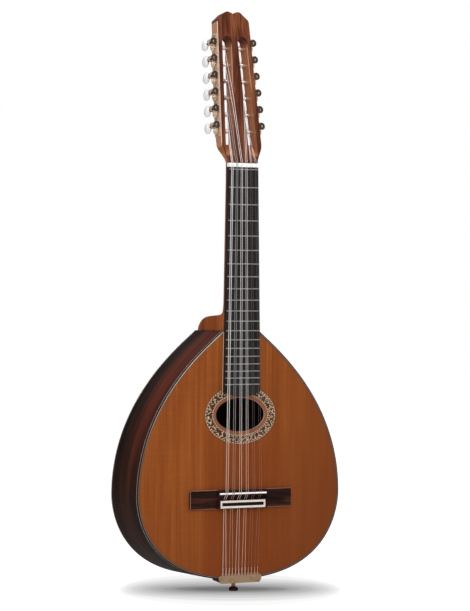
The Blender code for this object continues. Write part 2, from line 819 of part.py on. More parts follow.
def worm_mesh():
    """Worm, shaft, collar and finger button as one skin, with +Y pointing back to the button.

    A right-handed ridge winds up the shaft, and its crest faces the wheel halfway along it.
    """
    count = WORM_SIDES
    root = WORM_PITCH_RADIUS - DEDENDUM
    crown = WORM_PITCH_RADIUS + ADDENDUM
    half = (WORM_PITCH - BACKLASH) / 4
    slope = math.tan(math.radians(20))
    profile = [
        (root, -half - DEDENDUM * slope),
        (crown, -half + ADDENDUM * slope),
        (crown, half - ADDENDUM * slope),
        (root, half + DEDENDUM * slope),
    ]
    bm = bmesh.new()
    ridge = []
    for step in range(WORM_STEPS + 1):
        turns = (step - WORM_STEPS / 2) / count
        angle = 2 * math.pi * turns
        spots = [round_about(angle, r, r, y + turns * WORM_PITCH) for r, y in profile]
        ridge.append([bm.verts.new(spot) for spot in spots])

    def ring(half_x, half_z, y):
        angles = [2 * math.pi * (i - WORM_STEPS / 2) / count for i in range(count)]
        return [bm.verts.new(round_about(a, half_x, half_z, y)) for a in angles]

    front = ring(root, root, -(LUG_APART + LUG_THICK) / 2 - 0.9 * MM)
    behind = (LUG_APART + LUG_THICK) / 2 + 0.5 * MM
    back = [
        ring(root, root, behind),
        ring(2.6 * MM, 2.6 * MM, behind),
        ring(1.9 * MM, 1.9 * MM, behind + 2.6 * MM),
        ring(2.5 * MM, 3.4 * MM, BUTTON_BACK - BUTTON_LONG / 2),
        ring(BUTTON_THICK * 0.42, BUTTON_TALL * 0.4, BUTTON_BACK - BUTTON_LONG * 0.3),
        ring(BUTTON_THICK * 0.5, BUTTON_TALL * 0.5, BUTTON_BACK),
        ring(BUTTON_THICK * 0.42, BUTTON_TALL * 0.41, BUTTON_BACK + BUTTON_LONG * 0.32),
        ring(BUTTON_THICK * 0.2, BUTTON_TALL * 0.2, BUTTON_BACK + BUTTON_LONG * 0.5),
    ]
    for low, high in zip(ridge, ridge[1:]):
        for i in range(3):
            bm.faces.new((low[i], high[i], high[i + 1], low[i + 1]))
    for i in range(WORM_STEPS - count):
        near, far = ridge[i], ridge[i + 1]
        bm.faces.new((near[3], far[3], ridge[i + 1 + count][0], ridge[i + count][0]))
    bm.faces.new(ridge[0])
    bm.faces.new(ridge[-1])
    for i in range(count - 1):
        bm.faces.new((front[i], front[i + 1], ridge[i + 1][0], ridge[i][0]))
    bm.faces.new(
        (
            front[-1],
            front[0],
            ridge[0][0],
            ridge[0][3],
            ridge[count][0],
            ridge[count - 1][0],
        )
    )
    bm.faces.new(front)
    last = WORM_STEPS - count
    first_ring = back[0]
    for i in range(last + 1, WORM_STEPS):
        corners = (first_ring[(i + 1) % count], first_ring[i % count])
        bm.faces.new((ridge[i][3], ridge[i + 1][3], *corners))
    bm.faces.new(
        (
            ridge[last][3],
            ridge[last + 1][3],
            first_ring[(last + 1) % count],
            first_ring[last % count],
            ridge[-1][3],
            ridge[-1][0],
        )
    )
    for low, high in zip(back, back[1:]):
        for i in range(count):
            j = (i + 1) % count
            bm.faces.new((low[i], low[j], high[j], high[i]))
    bm.faces.new(back[-1])
    bmesh.ops.recalc_face_normals(bm, faces=bm.faces)
    mesh = bpy.data.meshes.new("tuner")
    bm.to_mesh(mesh)
    bm.free()
    return mesh


def machine_plate_mesh():
    """The long plate of one side, with a pair of lugs for each worm."""
    above = WORM_ABOVE
    low = -2.5 * MACHINE_PITCH - 10 * MM
    high = 2.5 * MACHINE_PITCH + 21.5 * MM
    half = 8.6 * MM
    rim = 2 * MM
    outline = [
        (ROLLER_DEPTH - half, low + rim),
        (ROLLER_DEPTH - half + rim, low),
        (ROLLER_DEPTH + half - rim, low),
        (ROLLER_DEPTH + half, low + rim),
        (ROLLER_DEPTH + half, high - rim),
        (ROLLER_DEPTH + half - rim, high),
        (ROLLER_DEPTH - half + rim, high),
        (ROLLER_DEPTH - half, high - rim),
    ]
    strip = extruded("strip", outline, "X", GAP, GAP + MACHINE_PLATE)
    pieces = []
    holes = bmesh.new()
    for number in range(MACHINES):
        along = (number - 2.5) * MACHINE_PITCH
        cylinder(
            holes,
            bore_radius(ROLLER_RADIUS, 8),
            (-2 * MM, ROLLER_DEPTH, along),
            (4 * MM, ROLLER_DEPTH, along),
            8,
        )
        for side in (-1, 1):
            pieces.append(lug(ROLLER_DEPTH + side * LUG_APART / 2, along + above))
    whole = joined(strip, *pieces)
    cutter = object_from(holes, "roller_holes")
    bpy.context.scene.collection.objects.link(cutter)
    combine(whole, cutter, "DIFFERENCE")
    whole = as_mesh(whole)
    bpy.data.objects.remove(cutter)
    mesh = whole.data
    bpy.data.objects.remove(whole)
    return mesh


def lug(y, z):
    """A D-shaped ear that stands on the plate, bored for the worm's shaft."""
    half = 5.1 * MM
    rise = 0.9 * MM
    reach = WORM_OUT + 5.8 * MM
    middle = WORM_OUT + 0.7 * MM
    outline = [(GAP * 2, rise - half), (middle, rise - half)]
    for step in range(1, 4):
        angle = math.pi * (step / 4 - 0.5)
        x = middle + (reach - middle) * math.cos(angle)
        outline.append((x, rise + half * math.sin(angle)))
    outline += [(middle, rise + half), (GAP * 2, rise + half)]
    bore = []
    radius = bore_radius(WORM_PITCH_RADIUS - DEDENDUM, 6)
    for step in range(6):
        angle = 2 * math.pi * step / 6
        bore.append((WORM_OUT + radius * math.cos(angle), radius * math.sin(angle)))
    ear = plate("lug", [outline, bore], y - LUG_THICK / 2, y + LUG_THICK / 2)
    ear.data.transform(Matrix.Translation((0, 0, z)))
    return ear


def build_machines(frame):
    """Six worm machines on each side. The wheel's gap meets the worm's crest on the centre line."""
    roller = roller_mesh()
    worm = worm_mesh()
    plate_mesh = machine_plate_mesh()
    angle = math.atan(HEAD_TAPER)
    for side, name in ((-1, "left"), (1, "right")):
        middle = FIRST_ROLLER + 2.5 * MACHINE_PITCH
        spot = (side * head_half(middle), 0, middle)
        turn = (0, -side * angle, 0)
        side_frame = new_empty("machines_" + name, spot, turn, frame)
        strip = bpy.data.objects.new("machine_plate_" + name, plate_mesh)
        place(strip, "brass", side_frame)
        if side < 0:
            # Half a turn about Z, about the line that the rollers lie on
            strip.rotation_euler = (0, 0, math.pi)
            strip.location = (0, 2 * ROLLER_DEPTH, 0)
        for number in range(MACHINES):
            along = (number - 2.5) * MACHINE_PITCH
            label = f"{name}_{number + 1}"
            shaft = bpy.data.objects.new("roller_" + label, roller)
            shaft.location = (0, ROLLER_DEPTH, along)
            shaft.rotation_euler = (0, 0, math.pi if side < 0 else 0)
            place(smooth(shaft), "steel", side_frame)
            key = bpy.data.objects.new("tuner_" + label, worm)
            key.location = (side * WORM_OUT, ROLLER_DEPTH, along + WORM_ABOVE)
            place(smooth(key), "brass", side_frame)


# Bridge and tailpiece


def build_bridge():
    """Flat wings, a raised bed with the saddle's slot, and a tie block bored for the strings."""
    wings_half = BRIDGE_HALF
    back = -GAP
    middle_half = 43.5 * MM
    corner = 1.5 * MM
    outline = [
        (-wings_half, BRIDGE_LOW),
        (wings_half, BRIDGE_LOW),
        (wings_half, BRIDGE_HIGH - corner),
        (wings_half - corner, BRIDGE_HIGH),
        (-wings_half + corner, BRIDGE_HIGH),
        (-wings_half, BRIDGE_HIGH - corner),
    ]
    wings = extruded("bridge", outline, "Y", back - WING_THICK, back)
    bed = SADDLE_MID - 3.2 * MM
    profile = [
        (back - MM, BRIDGE_LOW + 0.1 * MM),
        (BLOCK_FRONT, BRIDGE_LOW + 0.1 * MM),
        (BLOCK_FRONT, BLOCK_HIGH),
        (BLOCK_HOLE_Y + 2.2 * MM, BLOCK_HIGH),
        (BLOCK_HOLE_Y + 2.2 * MM, BLOCK_HIGH + 1.5 * MM),
        (-8.6 * MM, bed),
        (-8.6 * MM, SADDLE_MID + 3 * MM),
        (-7 * MM, BRIDGE_HIGH - 0.1 * MM),
        (back - MM, BRIDGE_HIGH - 0.1 * MM),
    ]
    middle = extruded("bridge_middle", profile, "X", -middle_half, middle_half)
    bridge = place(joined(wings, middle), "rosewood")
    room = SADDLE_THICK / 2 + GAP
    slot = box(
        "saddle_slot",
        (-SADDLE_HALF - GAP, -20 * MM, SADDLE_MID - room),
        (SADDLE_HALF + GAP, -4.6 * MM, SADDLE_MID + room),
    )
    combine(bridge, place_cutter(slot), "DIFFERENCE")
    bm = bmesh.new()
    for number in range(2 * COURSES):
        x = string_x(number, SADDLE_SPREAD, SADDLE_PAIR)
        low = BRIDGE_LOW - 2 * MM
        high = BLOCK_HIGH + 1.2 * MM
        cylinder(bm, BLOCK_HOLE_RADIUS, (x, BLOCK_HOLE_Y, low), (x, BLOCK_HOLE_Y, high), 8)
    combine(bridge, place_cutter(object_from(bm, "string_bores")), "DIFFERENCE")
    rest = [
        (-FRAME_HALF - GAP, FRAME_LOW - GAP),
        (FRAME_HALF + GAP, FRAME_LOW - GAP),
        (FRAME_HALF + GAP, FRAME_HIGH + GAP),
        (-FRAME_HALF - GAP, FRAME_HIGH + GAP),
    ]
    recess = extruded("frame_recess", rest, "Y", -20 * MM, BLOCK_FRONT + 0.8 * MM)
    combine(bridge, place_cutter(recess), "DIFFERENCE")


def build_saddle():
    half = SADDLE_THICK / 2
    profile = [
        (-4.6 * MM - GAP, SADDLE_MID - half),
        (SADDLE_FRONT + 0.7 * MM, SADDLE_MID - half),
        (SADDLE_FRONT, SADDLE_MID - half * 0.3),
        (SADDLE_FRONT, SADDLE_MID + half * 0.3),
        (SADDLE_FRONT + 0.7 * MM, SADDLE_MID + half),
        (-4.6 * MM - GAP, SADDLE_MID + half),
    ]
    place(extruded("saddle", profile, "X", -SADDLE_HALF, SADDLE_HALF), "bone")


def build_block_frame():
    """The white frame let into the tie block round its dark channel."""
    bar = 3.3 * MM
    end = 2.8 * MM
    outer = [
        (-FRAME_HALF, FRAME_LOW),
        (FRAME_HALF, FRAME_LOW),
        (FRAME_HALF, FRAME_HIGH),
        (-FRAME_HALF, FRAME_HIGH),
    ]
    inner = [
        (-FRAME_HALF + end, FRAME_LOW + bar),
        (FRAME_HALF - end, FRAME_LOW + bar),
        (FRAME_HALF - end, FRAME_HIGH - bar),
        (-FRAME_HALF + end, FRAME_HIGH - bar),
    ]
    back = BLOCK_FRONT + 0.8 * MM - GAP
    frame = plate("block_frame", [outer, inner], back - 1.3 * MM, back)
    place(frame, "bone")


def build_tailpiece(shank_hole):
    """A folded brass angle: hooks and face in front, a leg back under the body."""
    tab = 1.3 * MM
    tall = 2.6 * MM
    outline = [
        (-TAIL_HALF, TAIL_TOP - 4 * MM),
        (-36 * MM, TAIL_BOTTOM + 2 * MM),
        (-33.5 * MM, TAIL_BOTTOM),
        (33.5 * MM, TAIL_BOTTOM),
        (36 * MM, TAIL_BOTTOM + 2 * MM),
        (TAIL_HALF, TAIL_TOP - 4 * MM),
        (TAIL_HALF - 2 * MM, TAIL_TOP),
    ]
    for number in reversed(range(2 * COURSES)):
        x = tail_x(number)
        outline.append((x + tab, TAIL_TOP))
        outline.append((x + tab * 0.6, TAIL_TOP + tall))
        outline.append((x - tab * 0.6, TAIL_TOP + tall))
        outline.append((x - tab, TAIL_TOP))
    outline.append((-TAIL_HALF + 2 * MM, TAIL_TOP))
    face = plate("tailpiece", [outline], TAIL_FRONT, TAIL_FRONT + TAIL_THICK)
    tilt = 3.2 * MM
    reach = 27 * MM
    thick = TAIL_THICK
    leg_profile = [
        (TAIL_FRONT + 0.2 * MM, TAIL_BOTTOM + 0.1 * MM),
        (reach, TAIL_BOTTOM + tilt),
        (reach, TAIL_BOTTOM + tilt + thick),
        (TAIL_FRONT + 0.2 * MM, TAIL_BOTTOM + thick + 0.1 * MM),
    ]
    leg = extruded("tail_leg", leg_profile, "X", -33 * MM, 33 * MM)
    tailpiece = place(joined(face, leg), "brass")
    combine(tailpiece, shank_hole, "DIFFERENCE")


def build_end_wedge(shank_hole):
    """The dark block between the body's end and the tailpiece's leg."""
    profile = [
        (TAIL_FRONT + TAIL_THICK + GAP, TAIL_BOTTOM + TAIL_THICK + 0.7 * MM),
        (26 * MM, TAIL_BOTTOM + TAIL_THICK + 3.6 * MM),
        (26 * MM, SADDLE_Z - 128 * MM),
        (TAIL_FRONT + TAIL_THICK + GAP, SADDLE_Z - 128 * MM),
    ]
    wedge = place(extruded("end_wedge", profile, "X", -34.5 * MM, 34.5 * MM), "ebony")
    body = plate("body_room", [body_outline(14, -GAP)], -5 * MM, BODY_DEPTH)
    combine(wedge, place_cutter(body), "DIFFERENCE")
    combine(wedge, shank_hole, "DIFFERENCE")


def build_end_button():
    """A turned pin that holds the tailpiece and carries the laud's foot."""
    shoulder = TAIL_BOTTOM + 0.4 * MM
    tip = SADDLE_Z - BODY_BOTTOM + 12 * MM
    profile = [
        (0, tip),
        (SHANK_RADIUS, tip),
        (SHANK_RADIUS, shoulder),
        (3.3 * MM, shoulder),
        (3.0 * MM, shoulder - 5 * MM),
        (4.2 * MM, FOOT_LOW + 6 * MM),
        (8.0 * MM, FOOT_LOW + 4.6 * MM),
        (8.4 * MM, FOOT_LOW + 2.4 * MM),
        (7.4 * MM, FOOT_LOW),
        (0, FOOT_LOW),
    ]
    bm = bmesh.new()
    verts = [bm.verts.new((x, 0, z)) for x, z in profile]
    for pair in zip(verts, verts[1:]):
        bm.edges.new(pair)
    button = object_from(bm, "end_button")
    button.location = (0, FOOT_Y, 0)
    screw = button.modifiers.new("turned", "SCREW")
    screw.steps = 16
    screw.render_steps = 16
    screw.use_merge_vertices = True
    screw.merge_threshold = 1e-6
    place(smooth(button), "rosewood")


def build_shank_hole():
    bm = bmesh.new()
    low = (0, FOOT_Y, TAIL_BOTTOM - 5 * MM)
    high = (0, FOOT_Y, SADDLE_Z - BODY_BOTTOM + 13 * MM)
    cylinder(bm, SHANK_HOLE, low, high, 12)
    return place_cutter(object_from(bm, "shank_hole"))


# Strings


def string_x(number, spread, pair):
    """Where a string crosses, numbered from the left, in courses of two."""
    course = number // 2
    side = number % 2 * 2 - 1
    step = (spread - pair) / (COURSES - 1)
    return (course - (COURSES - 1) / 2) * step + side * pair / 2


def tail_x(number):
    count = 2 * COURSES
    return TAIL_SPREAD * (number / (count - 1) - 0.5)


def string_radius(number):
    return COURSE_DIAMETERS[number // 2] / 2


def head_point(x, y, u):
    """A point of the head's frame in the world."""
    turn = Matrix.Rotation(-HEAD_TILT, 3, "X")
    return HEAD_PIVOT + turn @ Vector((x, y, u))


def winding(number, side, machine):
    """The turns on the roller, from where the string comes in at its front."""
    step_angle = 2 * math.pi / WINDING_POINTS
    radius = bore_radius(ROLLER_RADIUS, WINDING_POINTS, GAP + string_radius(number))
    pitch = 2 * string_radius(number) + 0.5 * MM
    along = (machine - 2.5) * MACHINE_PITCH
    start = SLOT_WALL + 8 * MM
    if side > 0:
        start = SLOT_WALL + SLOT_WIDE - 6.4 * MM
    points = []
    for step in range(round(WINDING_TURNS * WINDING_POINTS) + 1):
        angle = step * step_angle
        outward = -start + pitch * step / WINDING_POINTS
        x, u = machine_place(side, outward, along + radius * math.sin(angle))
        points.append(head_point(x, ROLLER_DEPTH - radius * math.cos(angle), u))
    return points


def least_gap(points, diameter):
    """The least clear distance from one turn of a winding to another, read on its points."""
    return min(
        (a - b).length - diameter
        for i, a in enumerate(points)
        for b in points[i + WINDING_POINTS // 2 :]
    )


def rib_crossing(x_nut, start, wound):
    """Where a string that starts over the central rib leaves it, as (x, u) in the head's frame."""
    steps = 60
    for step in range(steps):
        share = step / steps
        x = x_nut + (wound.x - x_nut) * share
        u = start + (wound.z - start) * share
        rib = head_half(u) - SLOT_WALL - SLOT_WIDE
        if u > RAMP_START and abs(x) > rib + MM:
            return x, u
    return x_nut, RAMP_START


def string_route(number):
    """From the tailpiece's hook through the tie block, over saddle and nut, and onto its roller."""
    radius = string_radius(number)
    x_saddle = string_x(number, SADDLE_SPREAD, SADDLE_PAIR)
    x_nut = string_x(number, NUT_SPREAD, NUT_PAIR)
    side = -1 if number < COURSES else 1
    machine = number if side < 0 else 2 * COURSES - 1 - number
    over_fret = FRET_FRONT - GAP - radius
    turns = winding(number, side, machine)
    inverse = Matrix.Rotation(HEAD_TILT, 3, "X")
    wound = inverse @ (turns[0] - HEAD_PIVOT)
    x_off, u_off = rib_crossing(x_nut, HEAD_START, wound)
    points = [
        Vector((tail_x(number), TAIL_FRONT + TAIL_THICK / 2, TAIL_TOP + 2.6 * MM + GAP)),
        Vector((x_saddle, BLOCK_HOLE_Y, BRIDGE_LOW - 0.4 * MM)),
        Vector((x_saddle, BLOCK_HOLE_Y, BLOCK_HIGH + 0.4 * MM)),
        Vector((x_saddle, SADDLE_FRONT - 0.35 * MM - radius, SADDLE_MID - 0.6 * MM)),
        Vector((x_nut, over_fret, ZERO_FRET_Z)),
        Vector((x_nut, over_fret, NUT_HIGH + 0.1 * MM)),
        head_point(x_off, -radius - 0.4 * MM, u_off),
    ]
    gap = least_gap(turns, 2 * radius)
    print(f"string {number + 1}: least gap in its winding {gap / MM:.2f} mm")
    return points + turns


def build_strings():
    for number in range(2 * COURSES):
        curve = bpy.data.curves.new(f"string_{number + 1:02d}", "CURVE")
        curve.dimensions = "3D"
        curve.bevel_depth = string_radius(number)
        curve.bevel_resolution = 1
        curve.use_fill_caps = True
        route = string_route(number)
        spline = curve.splines.new("POLY")
        spline.points.add(len(route) - 1)
        for point, spot in zip(spline.points, route):
            point.co = (*spot, 1)
        place(bpy.data.objects.new(curve.name, curve), "steel")


clear_scene()
parts = new_collection("laud")
cutters = new_collection("cutters")
materials = {name: new_material(name) for name in COLOURS}

shank_hole = build_shank_hole()
build_soundboard()
build_rosette()
build_back()
build_bindings()
build_lining()
build_ribs(shank_hole)
build_braces()
build_tail_block(shank_hole)
build_neck()
build_fingerboard()
build_nut()
head_frame = new_empty("head_frame", HEAD_PIVOT, (-HEAD_TILT, 0, 0))
slot_cutters = build_slot_cutters(head_frame, -1) + build_slot_cutters(head_frame, 1)
build_head(head_frame, slot_cutters)
build_head_veneer(head_frame, slot_cutters)
build_machines(head_frame)
build_bridge()
build_saddle()
build_block_frame()
build_tailpiece(shank_hole)
build_end_wedge(shank_hole)
build_end_button()
build_strings()
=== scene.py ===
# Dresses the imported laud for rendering: woods, mosaic, bone, brass and strings.
import math
import bmesh
import bpy
from mathutils import Matrix, Vector


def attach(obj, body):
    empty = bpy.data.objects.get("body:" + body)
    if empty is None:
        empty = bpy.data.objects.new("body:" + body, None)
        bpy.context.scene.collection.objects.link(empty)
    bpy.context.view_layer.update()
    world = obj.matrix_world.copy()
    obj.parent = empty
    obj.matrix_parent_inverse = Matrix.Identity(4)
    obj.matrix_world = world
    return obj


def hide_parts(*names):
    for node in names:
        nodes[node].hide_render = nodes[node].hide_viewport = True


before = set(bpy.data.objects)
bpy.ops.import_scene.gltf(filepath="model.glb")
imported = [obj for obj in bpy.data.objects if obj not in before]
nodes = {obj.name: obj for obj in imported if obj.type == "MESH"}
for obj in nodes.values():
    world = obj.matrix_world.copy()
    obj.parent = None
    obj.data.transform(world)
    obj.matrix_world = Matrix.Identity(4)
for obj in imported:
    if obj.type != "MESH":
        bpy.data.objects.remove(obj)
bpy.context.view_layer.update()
mm = 0.001
print("frame loaded:", len(nodes), "nodes")


# Shader helpers: most find their node tree through a socket they are given

def isSocket(value):
    return isinstance(value, bpy.types.NodeSocket)


def feed(value, socket):
    # Links another socket, or sets a number, vector or colour
    if isSocket(value):
        value.id_data.links.new(value, socket)
    elif socket.type == "RGBA" and len(value) == 3:
        socket.default_value = (*value, 1)
    else:
        socket.default_value = value


def addNode(tree, kind, inputs=None, **settings):
    node = tree.nodes.new(kind)
    for key, value in settings.items():
        setattr(node, key, value)
    for key, value in (inputs or {}).items():
        feed(value, node.inputs[key])
    return node


def newGroup(name, defaults, results):
    # Every group reads a vector; a float makes a number input and a tuple a colour input
    tree = bpy.data.node_groups.new(name, "ShaderNodeTree")
    tree.interface.new_socket("Vector", in_out="INPUT", socket_type="NodeSocketVector")
    for socket, value in defaults.items():
        kind = "NodeSocketFloat" if isinstance(value, float) else "NodeSocketColor"
        tree.interface.new_socket(socket, in_out="INPUT", socket_type=kind).default_value = value
    for socket in results:
        kind = "NodeSocketColor" if socket == "Color" else "NodeSocketFloat"
        tree.interface.new_socket(socket, in_out="OUTPUT", socket_type=kind)
    return tree, tree.nodes.new("NodeGroupInput").outputs, tree.nodes.new("NodeGroupOutput").inputs


def useGroup(group, vector, **inputs):
    node = vector.id_data.nodes.new("ShaderNodeGroup")
    node.node_tree = group
    for key, value in dict(inputs, Vector=vector).items():
        feed(value, node.inputs[key])
    return node.outputs


def maths(operation, a, b=None):
    inputs = {0: a} if b is None else {0: a, 1: b}
    tree = (a if isSocket(a) else b).id_data
    return addNode(tree, "ShaderNodeMath", inputs, operation=operation).outputs[0]


def plus(a, b):
    return maths("ADD", a, b)


def minus(a, b):
    return maths("SUBTRACT", a, b)


def times(a, b):
    return maths("MULTIPLY", a, b)


def unsigned(a):
    return maths("ABSOLUTE", a)


def above(a, b):
    return maths("GREATER_THAN", a, b)


def ramp(value, stops, interpolation="LINEAR"):
    node = addNode(value.id_data, "ShaderNodeValToRGB", {"Fac": value})
    node.color_ramp.interpolation = interpolation
    while len(node.color_ramp.elements) < len(stops):
        node.color_ramp.elements.new(0.5)
    for element, (position, colour) in zip(node.color_ramp.elements, stops):
        element.position = position
        element.color = (*colour, 1)
    return node.outputs["Color"]


def mask(value, low, high):
    # 0 at low and 1 at high, with a straight slope between them
    inputs = {0: value, 1: low, 2: high}
    return addNode(value.id_data, "ShaderNodeMapRange", inputs, clamp=True).outputs[0]


def mix(factor, a, b, blend="MIX"):
    tree = next(value for value in (factor, a, b) if isSocket(value)).id_data
    node = addNode(tree, "ShaderNodeMix", data_type="RGBA", blend_type=blend)
    shown = {socket.name: socket for socket in node.inputs if socket.enabled}
    for name, value in (("Factor", factor), ("A", a), ("B", b)):
        feed(value, shown[name])
    return next(socket for socket in node.outputs if socket.enabled)


def tint(colour, where, depth, shade):
    return mix(times(where, depth), colour, shade)


def parts(vector):
    return addNode(vector.id_data, "ShaderNodeSeparateXYZ", {0: vector}).outputs


def vectorMaths(operation, vector, other=(0, 0, 0)):
    inputs = {0: vector, 1: other}
    return addNode(vector.id_data, "ShaderNodeVectorMath", inputs, operation=operation).outputs


def moved(vector, offset):
    return vectorMaths("ADD", vector, offset)[0]


def combined(tree, x, y=0, z=0):
    return addNode(tree, "ShaderNodeCombineXYZ", {0: x, 1: y, 2: z}).outputs[0]


def scaled(vector, x, y, z):
    return vectorMaths("MULTIPLY", vector, combined(vector.id_data, x, y, z))[0]


def length(vector):
    return vectorMaths("LENGTH", vector)["Value"]


def noise(vector, scale=1.0, detail=3.0, rough=0.5, distortion=0.0):
    names = ("Vector", "Scale", "Detail", "Roughness", "Distortion")
    inputs = dict(zip(names, (vector, scale, detail, rough, distortion)))
    return addNode(vector.id_data, "ShaderNodeTexNoise", inputs).outputs["Fac"]


# Shared effects

def makeWoodGroup():
    # Wood whose grain runs along Z: growth lines, broad figure and short pores
    defaults = {"Across": 700.0, "Along": 9.0, "Broad": 30.0}
    tree, given, result = newGroup("woodFigure", defaults, ["Lines", "Figure", "Pores"])
    vector, across, along, broad = given["Vector"], given["Across"], given["Along"], given["Broad"]
    bend = noise(scaled(vector, 9, 9, 2.5), detail=2)
    bent = moved(vector, combined(tree, times(bend, 0.02)))
    lines = noise(scaled(bent, across, across, along), detail=4, rough=0.65)
    figure = noise(scaled(bent, broad, broad, times(broad, 0.09)), detail=5, rough=0.55, distortion=0.6)
    wide = times(across, 3.0)
    dashes = noise(scaled(bent, wide, wide, times(along, 14.0)), detail=1)
    feed(lines, result["Lines"])
    feed(figure, result["Figure"])
    feed(mask(dashes, 0.6, 0.72), result["Pores"])
    return tree


def makeLacquerGroup():
    # Thin hand-rubbed lacquer: roughness that wanders, faint dust and ripple
    tree, given, result = newGroup("lacquer", {"Low": 0.16, "High": 0.3}, ["Roughness", "Height"])
    vector, low = given["Vector"], given["Low"]
    cloud = noise(vector, scale=22, detail=4, rough=0.6)
    specks = noise(vector, scale=900, detail=1)
    level = plus(low, times(minus(given["High"], low), cloud))
    feed(plus(level, times(mask(specks, 0.7, 0.8), 0.1)), result["Roughness"])
    feed(noise(vector, scale=260, detail=2), result["Height"])
    return tree


def makeMetalGroup():
    # Plated metal: fine brush marks, fingerprints and a little tarnish
    defaults = {"Bright": (0.8, 0.8, 0.8, 1), "Dull": (0.4, 0.4, 0.4, 1), "Low": 0.15, "High": 0.4}
    tree, given, result = newGroup("platedMetal", defaults, ["Color", "Roughness", "Height"])
    vector, low = given["Vector"], given["Low"]
    brush = noise(scaled(vector, 2600, 2600, 160), detail=3, rough=0.7)
    stain = mask(noise(vector, scale=120, detail=5, rough=0.65), 0.48, 0.72)
    share = times(plus(brush, stain), 0.5)
    feed(mix(stain, given["Bright"], given["Dull"]), result["Color"])
    feed(plus(low, times(minus(given["High"], low), share)), result["Roughness"])
    feed(brush, result["Height"])
    return tree


woodFigure = makeWoodGroup()
lacquer = makeLacquerGroup()
platedMetal = makeMetalGroup()


def startMaterial(name, coordinate="Object", turn=None, offset=(0, 0, 0)):
    material = bpy.data.materials.new(name)
    material.use_nodes = True
    tree = material.node_tree
    source = addNode(tree, "ShaderNodeTexCoord").outputs[coordinate]
    if turn:
        inputs = {"Vector": source, "Location": offset, "Rotation": turn}
        source = addNode(tree, "ShaderNodeMapping", inputs, vector_type="POINT").outputs[0]
    return material, source


def finishMaterial(material, colour, rough, constants, bump=None):
    # bump is a height, its strength and its distance
    tree = material.node_tree
    shader = tree.nodes["Principled BSDF"].inputs
    feed(colour, shader["Base Color"])
    feed(rough, shader["Roughness"])
    for name, value in constants.items():
        shader[name].default_value = value
    if bump:
        inputs = dict(zip(("Height", "Strength", "Distance"), bump))
        feed(addNode(tree, "ShaderNodeBump", inputs).outputs[0], shader["Normal"])
    return material


def woodMaterial(name, look, extra=None, **placing):
    material, vector = startMaterial(name, **placing)
    across, along, broad = look["grain"]
    figure = useGroup(woodFigure, vector, Across=across, Along=along, Broad=broad)
    colour = ramp(figure["Figure"], look["figure"])
    low, high, depth = look["lines"]
    colour = tint(colour, mask(figure["Lines"], low, high), depth, look["lineColour"])
    depth, rise = look["pores"]
    colour = tint(colour, figure["Pores"], depth, look["poreColour"])
    if extra:
        colour = extra(vector, colour)
    film = useGroup(lacquer, vector, Low=look["rough"][0], High=look["rough"][1])
    height = plus(film["Height"], times(figure["Pores"], -rise))
    constants = {"Specular IOR Level": look["specular"]}
    return finishMaterial(material, colour, film["Roughness"], constants, (height, look["bump"], 0.2 * mm))


def metalMaterial(name, bright, dull, rough, bump, metal):
    material, vector = startMaterial(name)
    plated = useGroup(platedMetal, vector, Bright=bright, Dull=dull, Low=rough[0], High=rough[1])
    relief = (plated["Height"], bump, 0.05 * mm)
    return finishMaterial(material, plated["Color"], plated["Roughness"], {"Metallic": metal}, relief)


# Measures that several pieces share

body = {
    "saddle": -518 * mm,
    "bottom": 135.8 * mm,
    "half": 179.7 * mm,
    "joint": -268 * mm,
    "jointHalf": 32.9 * mm,
    "depth": 88.5 * mm,
    # The widest point lies this far under the saddle, and the rest are the curves' handles
    "waistDrop": 3.3 * mm,
    "bottomPull": 171 * mm,
    "lowPull": 20 * mm,
    "highPull": 151 * mm,
    "cornerPull": (18 * mm, 17.5 * mm),
    "steps": 44,
    "plate": 2.6 * mm,
    "plateInset": 2.3 * mm,
    "hole": -398.4 * mm,
    "holeX": 43.3 * mm,
    "holeZ": 26.1 * mm,
    "rosetteInner": 4.7 * mm,
    "rosetteOuter": 19.9 * mm,
}
head = {
    "tilt": math.radians(8.5),
    "pivot": Vector((0, -5 * mm, -10 * mm)),
    "back": 23 * mm,
    "taper": 0.0368,
}
# Keeps the two sides apart on their UV map, along U
sideShift = 0.3


# Woods

def warmTop(vector, colour):
    # Silk, streaks and blushes, with painted shade that makes the top darker and redder low down and to the
    # right
    x, _, z = parts(vector)
    silk = noise(scaled(vector, 30, 10, 210), detail=3, rough=0.7)
    colour = tint(colour, mask(silk, 0.5, 0.7), 0.12, (0.36, 0.12, 0.03))
    streak = noise(scaled(vector, 250, 10, 2.2), detail=3, rough=0.7)
    colour = tint(colour, mask(streak, 0.5, 0.64), 0.42, (0.135, 0.03, 0.006))
    colour = tint(colour, mask(streak, 0.46, 0.34), 0.3, (0.36, 0.115, 0.024))
    blush = noise(vector, scale=16, detail=3)
    colour = tint(colour, mask(blush, 0.5, 0.75), 0.25, (0.2, 0.042, 0.008))
    # Painted shade: darker and redder low down and to the right, away from the light at the upper left
    low = minus(times(z, 0.78), times(x, 1.17))
    low = plus(low, times(minus(blush, 0.5), 0.1))
    colour = tint(colour, mask(low, -0.2, -0.6), 0.88, (0.14, 0.033, 0.0075))
    # A rosier band inside the rosette, round the hole
    centred = moved(vector, (0, 0, -body["hole"]))
    ringX, ringZ = body["holeX"] + 4.9 * mm, body["holeZ"] + 4.9 * mm
    ring = length(scaled(centred, 1 / ringX, 0, 1 / ringZ))
    colour = tint(colour, mask(ring, 1.0, 0.99), 0.75, (0.23, 0.085, 0.045))
    # Play has darkened the middle, and a glued seam runs down it
    off = unsigned(x)
    played = times(mask(off, 0.1, 0.02), mask(z, -0.4, -0.46))
    colour = tint(colour, played, 0.35, (0.16, 0.03, 0.005))
    return tint(colour, minus(1.0, mask(off, 0.0001, 0.0005)), 0.4, (0.1, 0.025, 0.006))


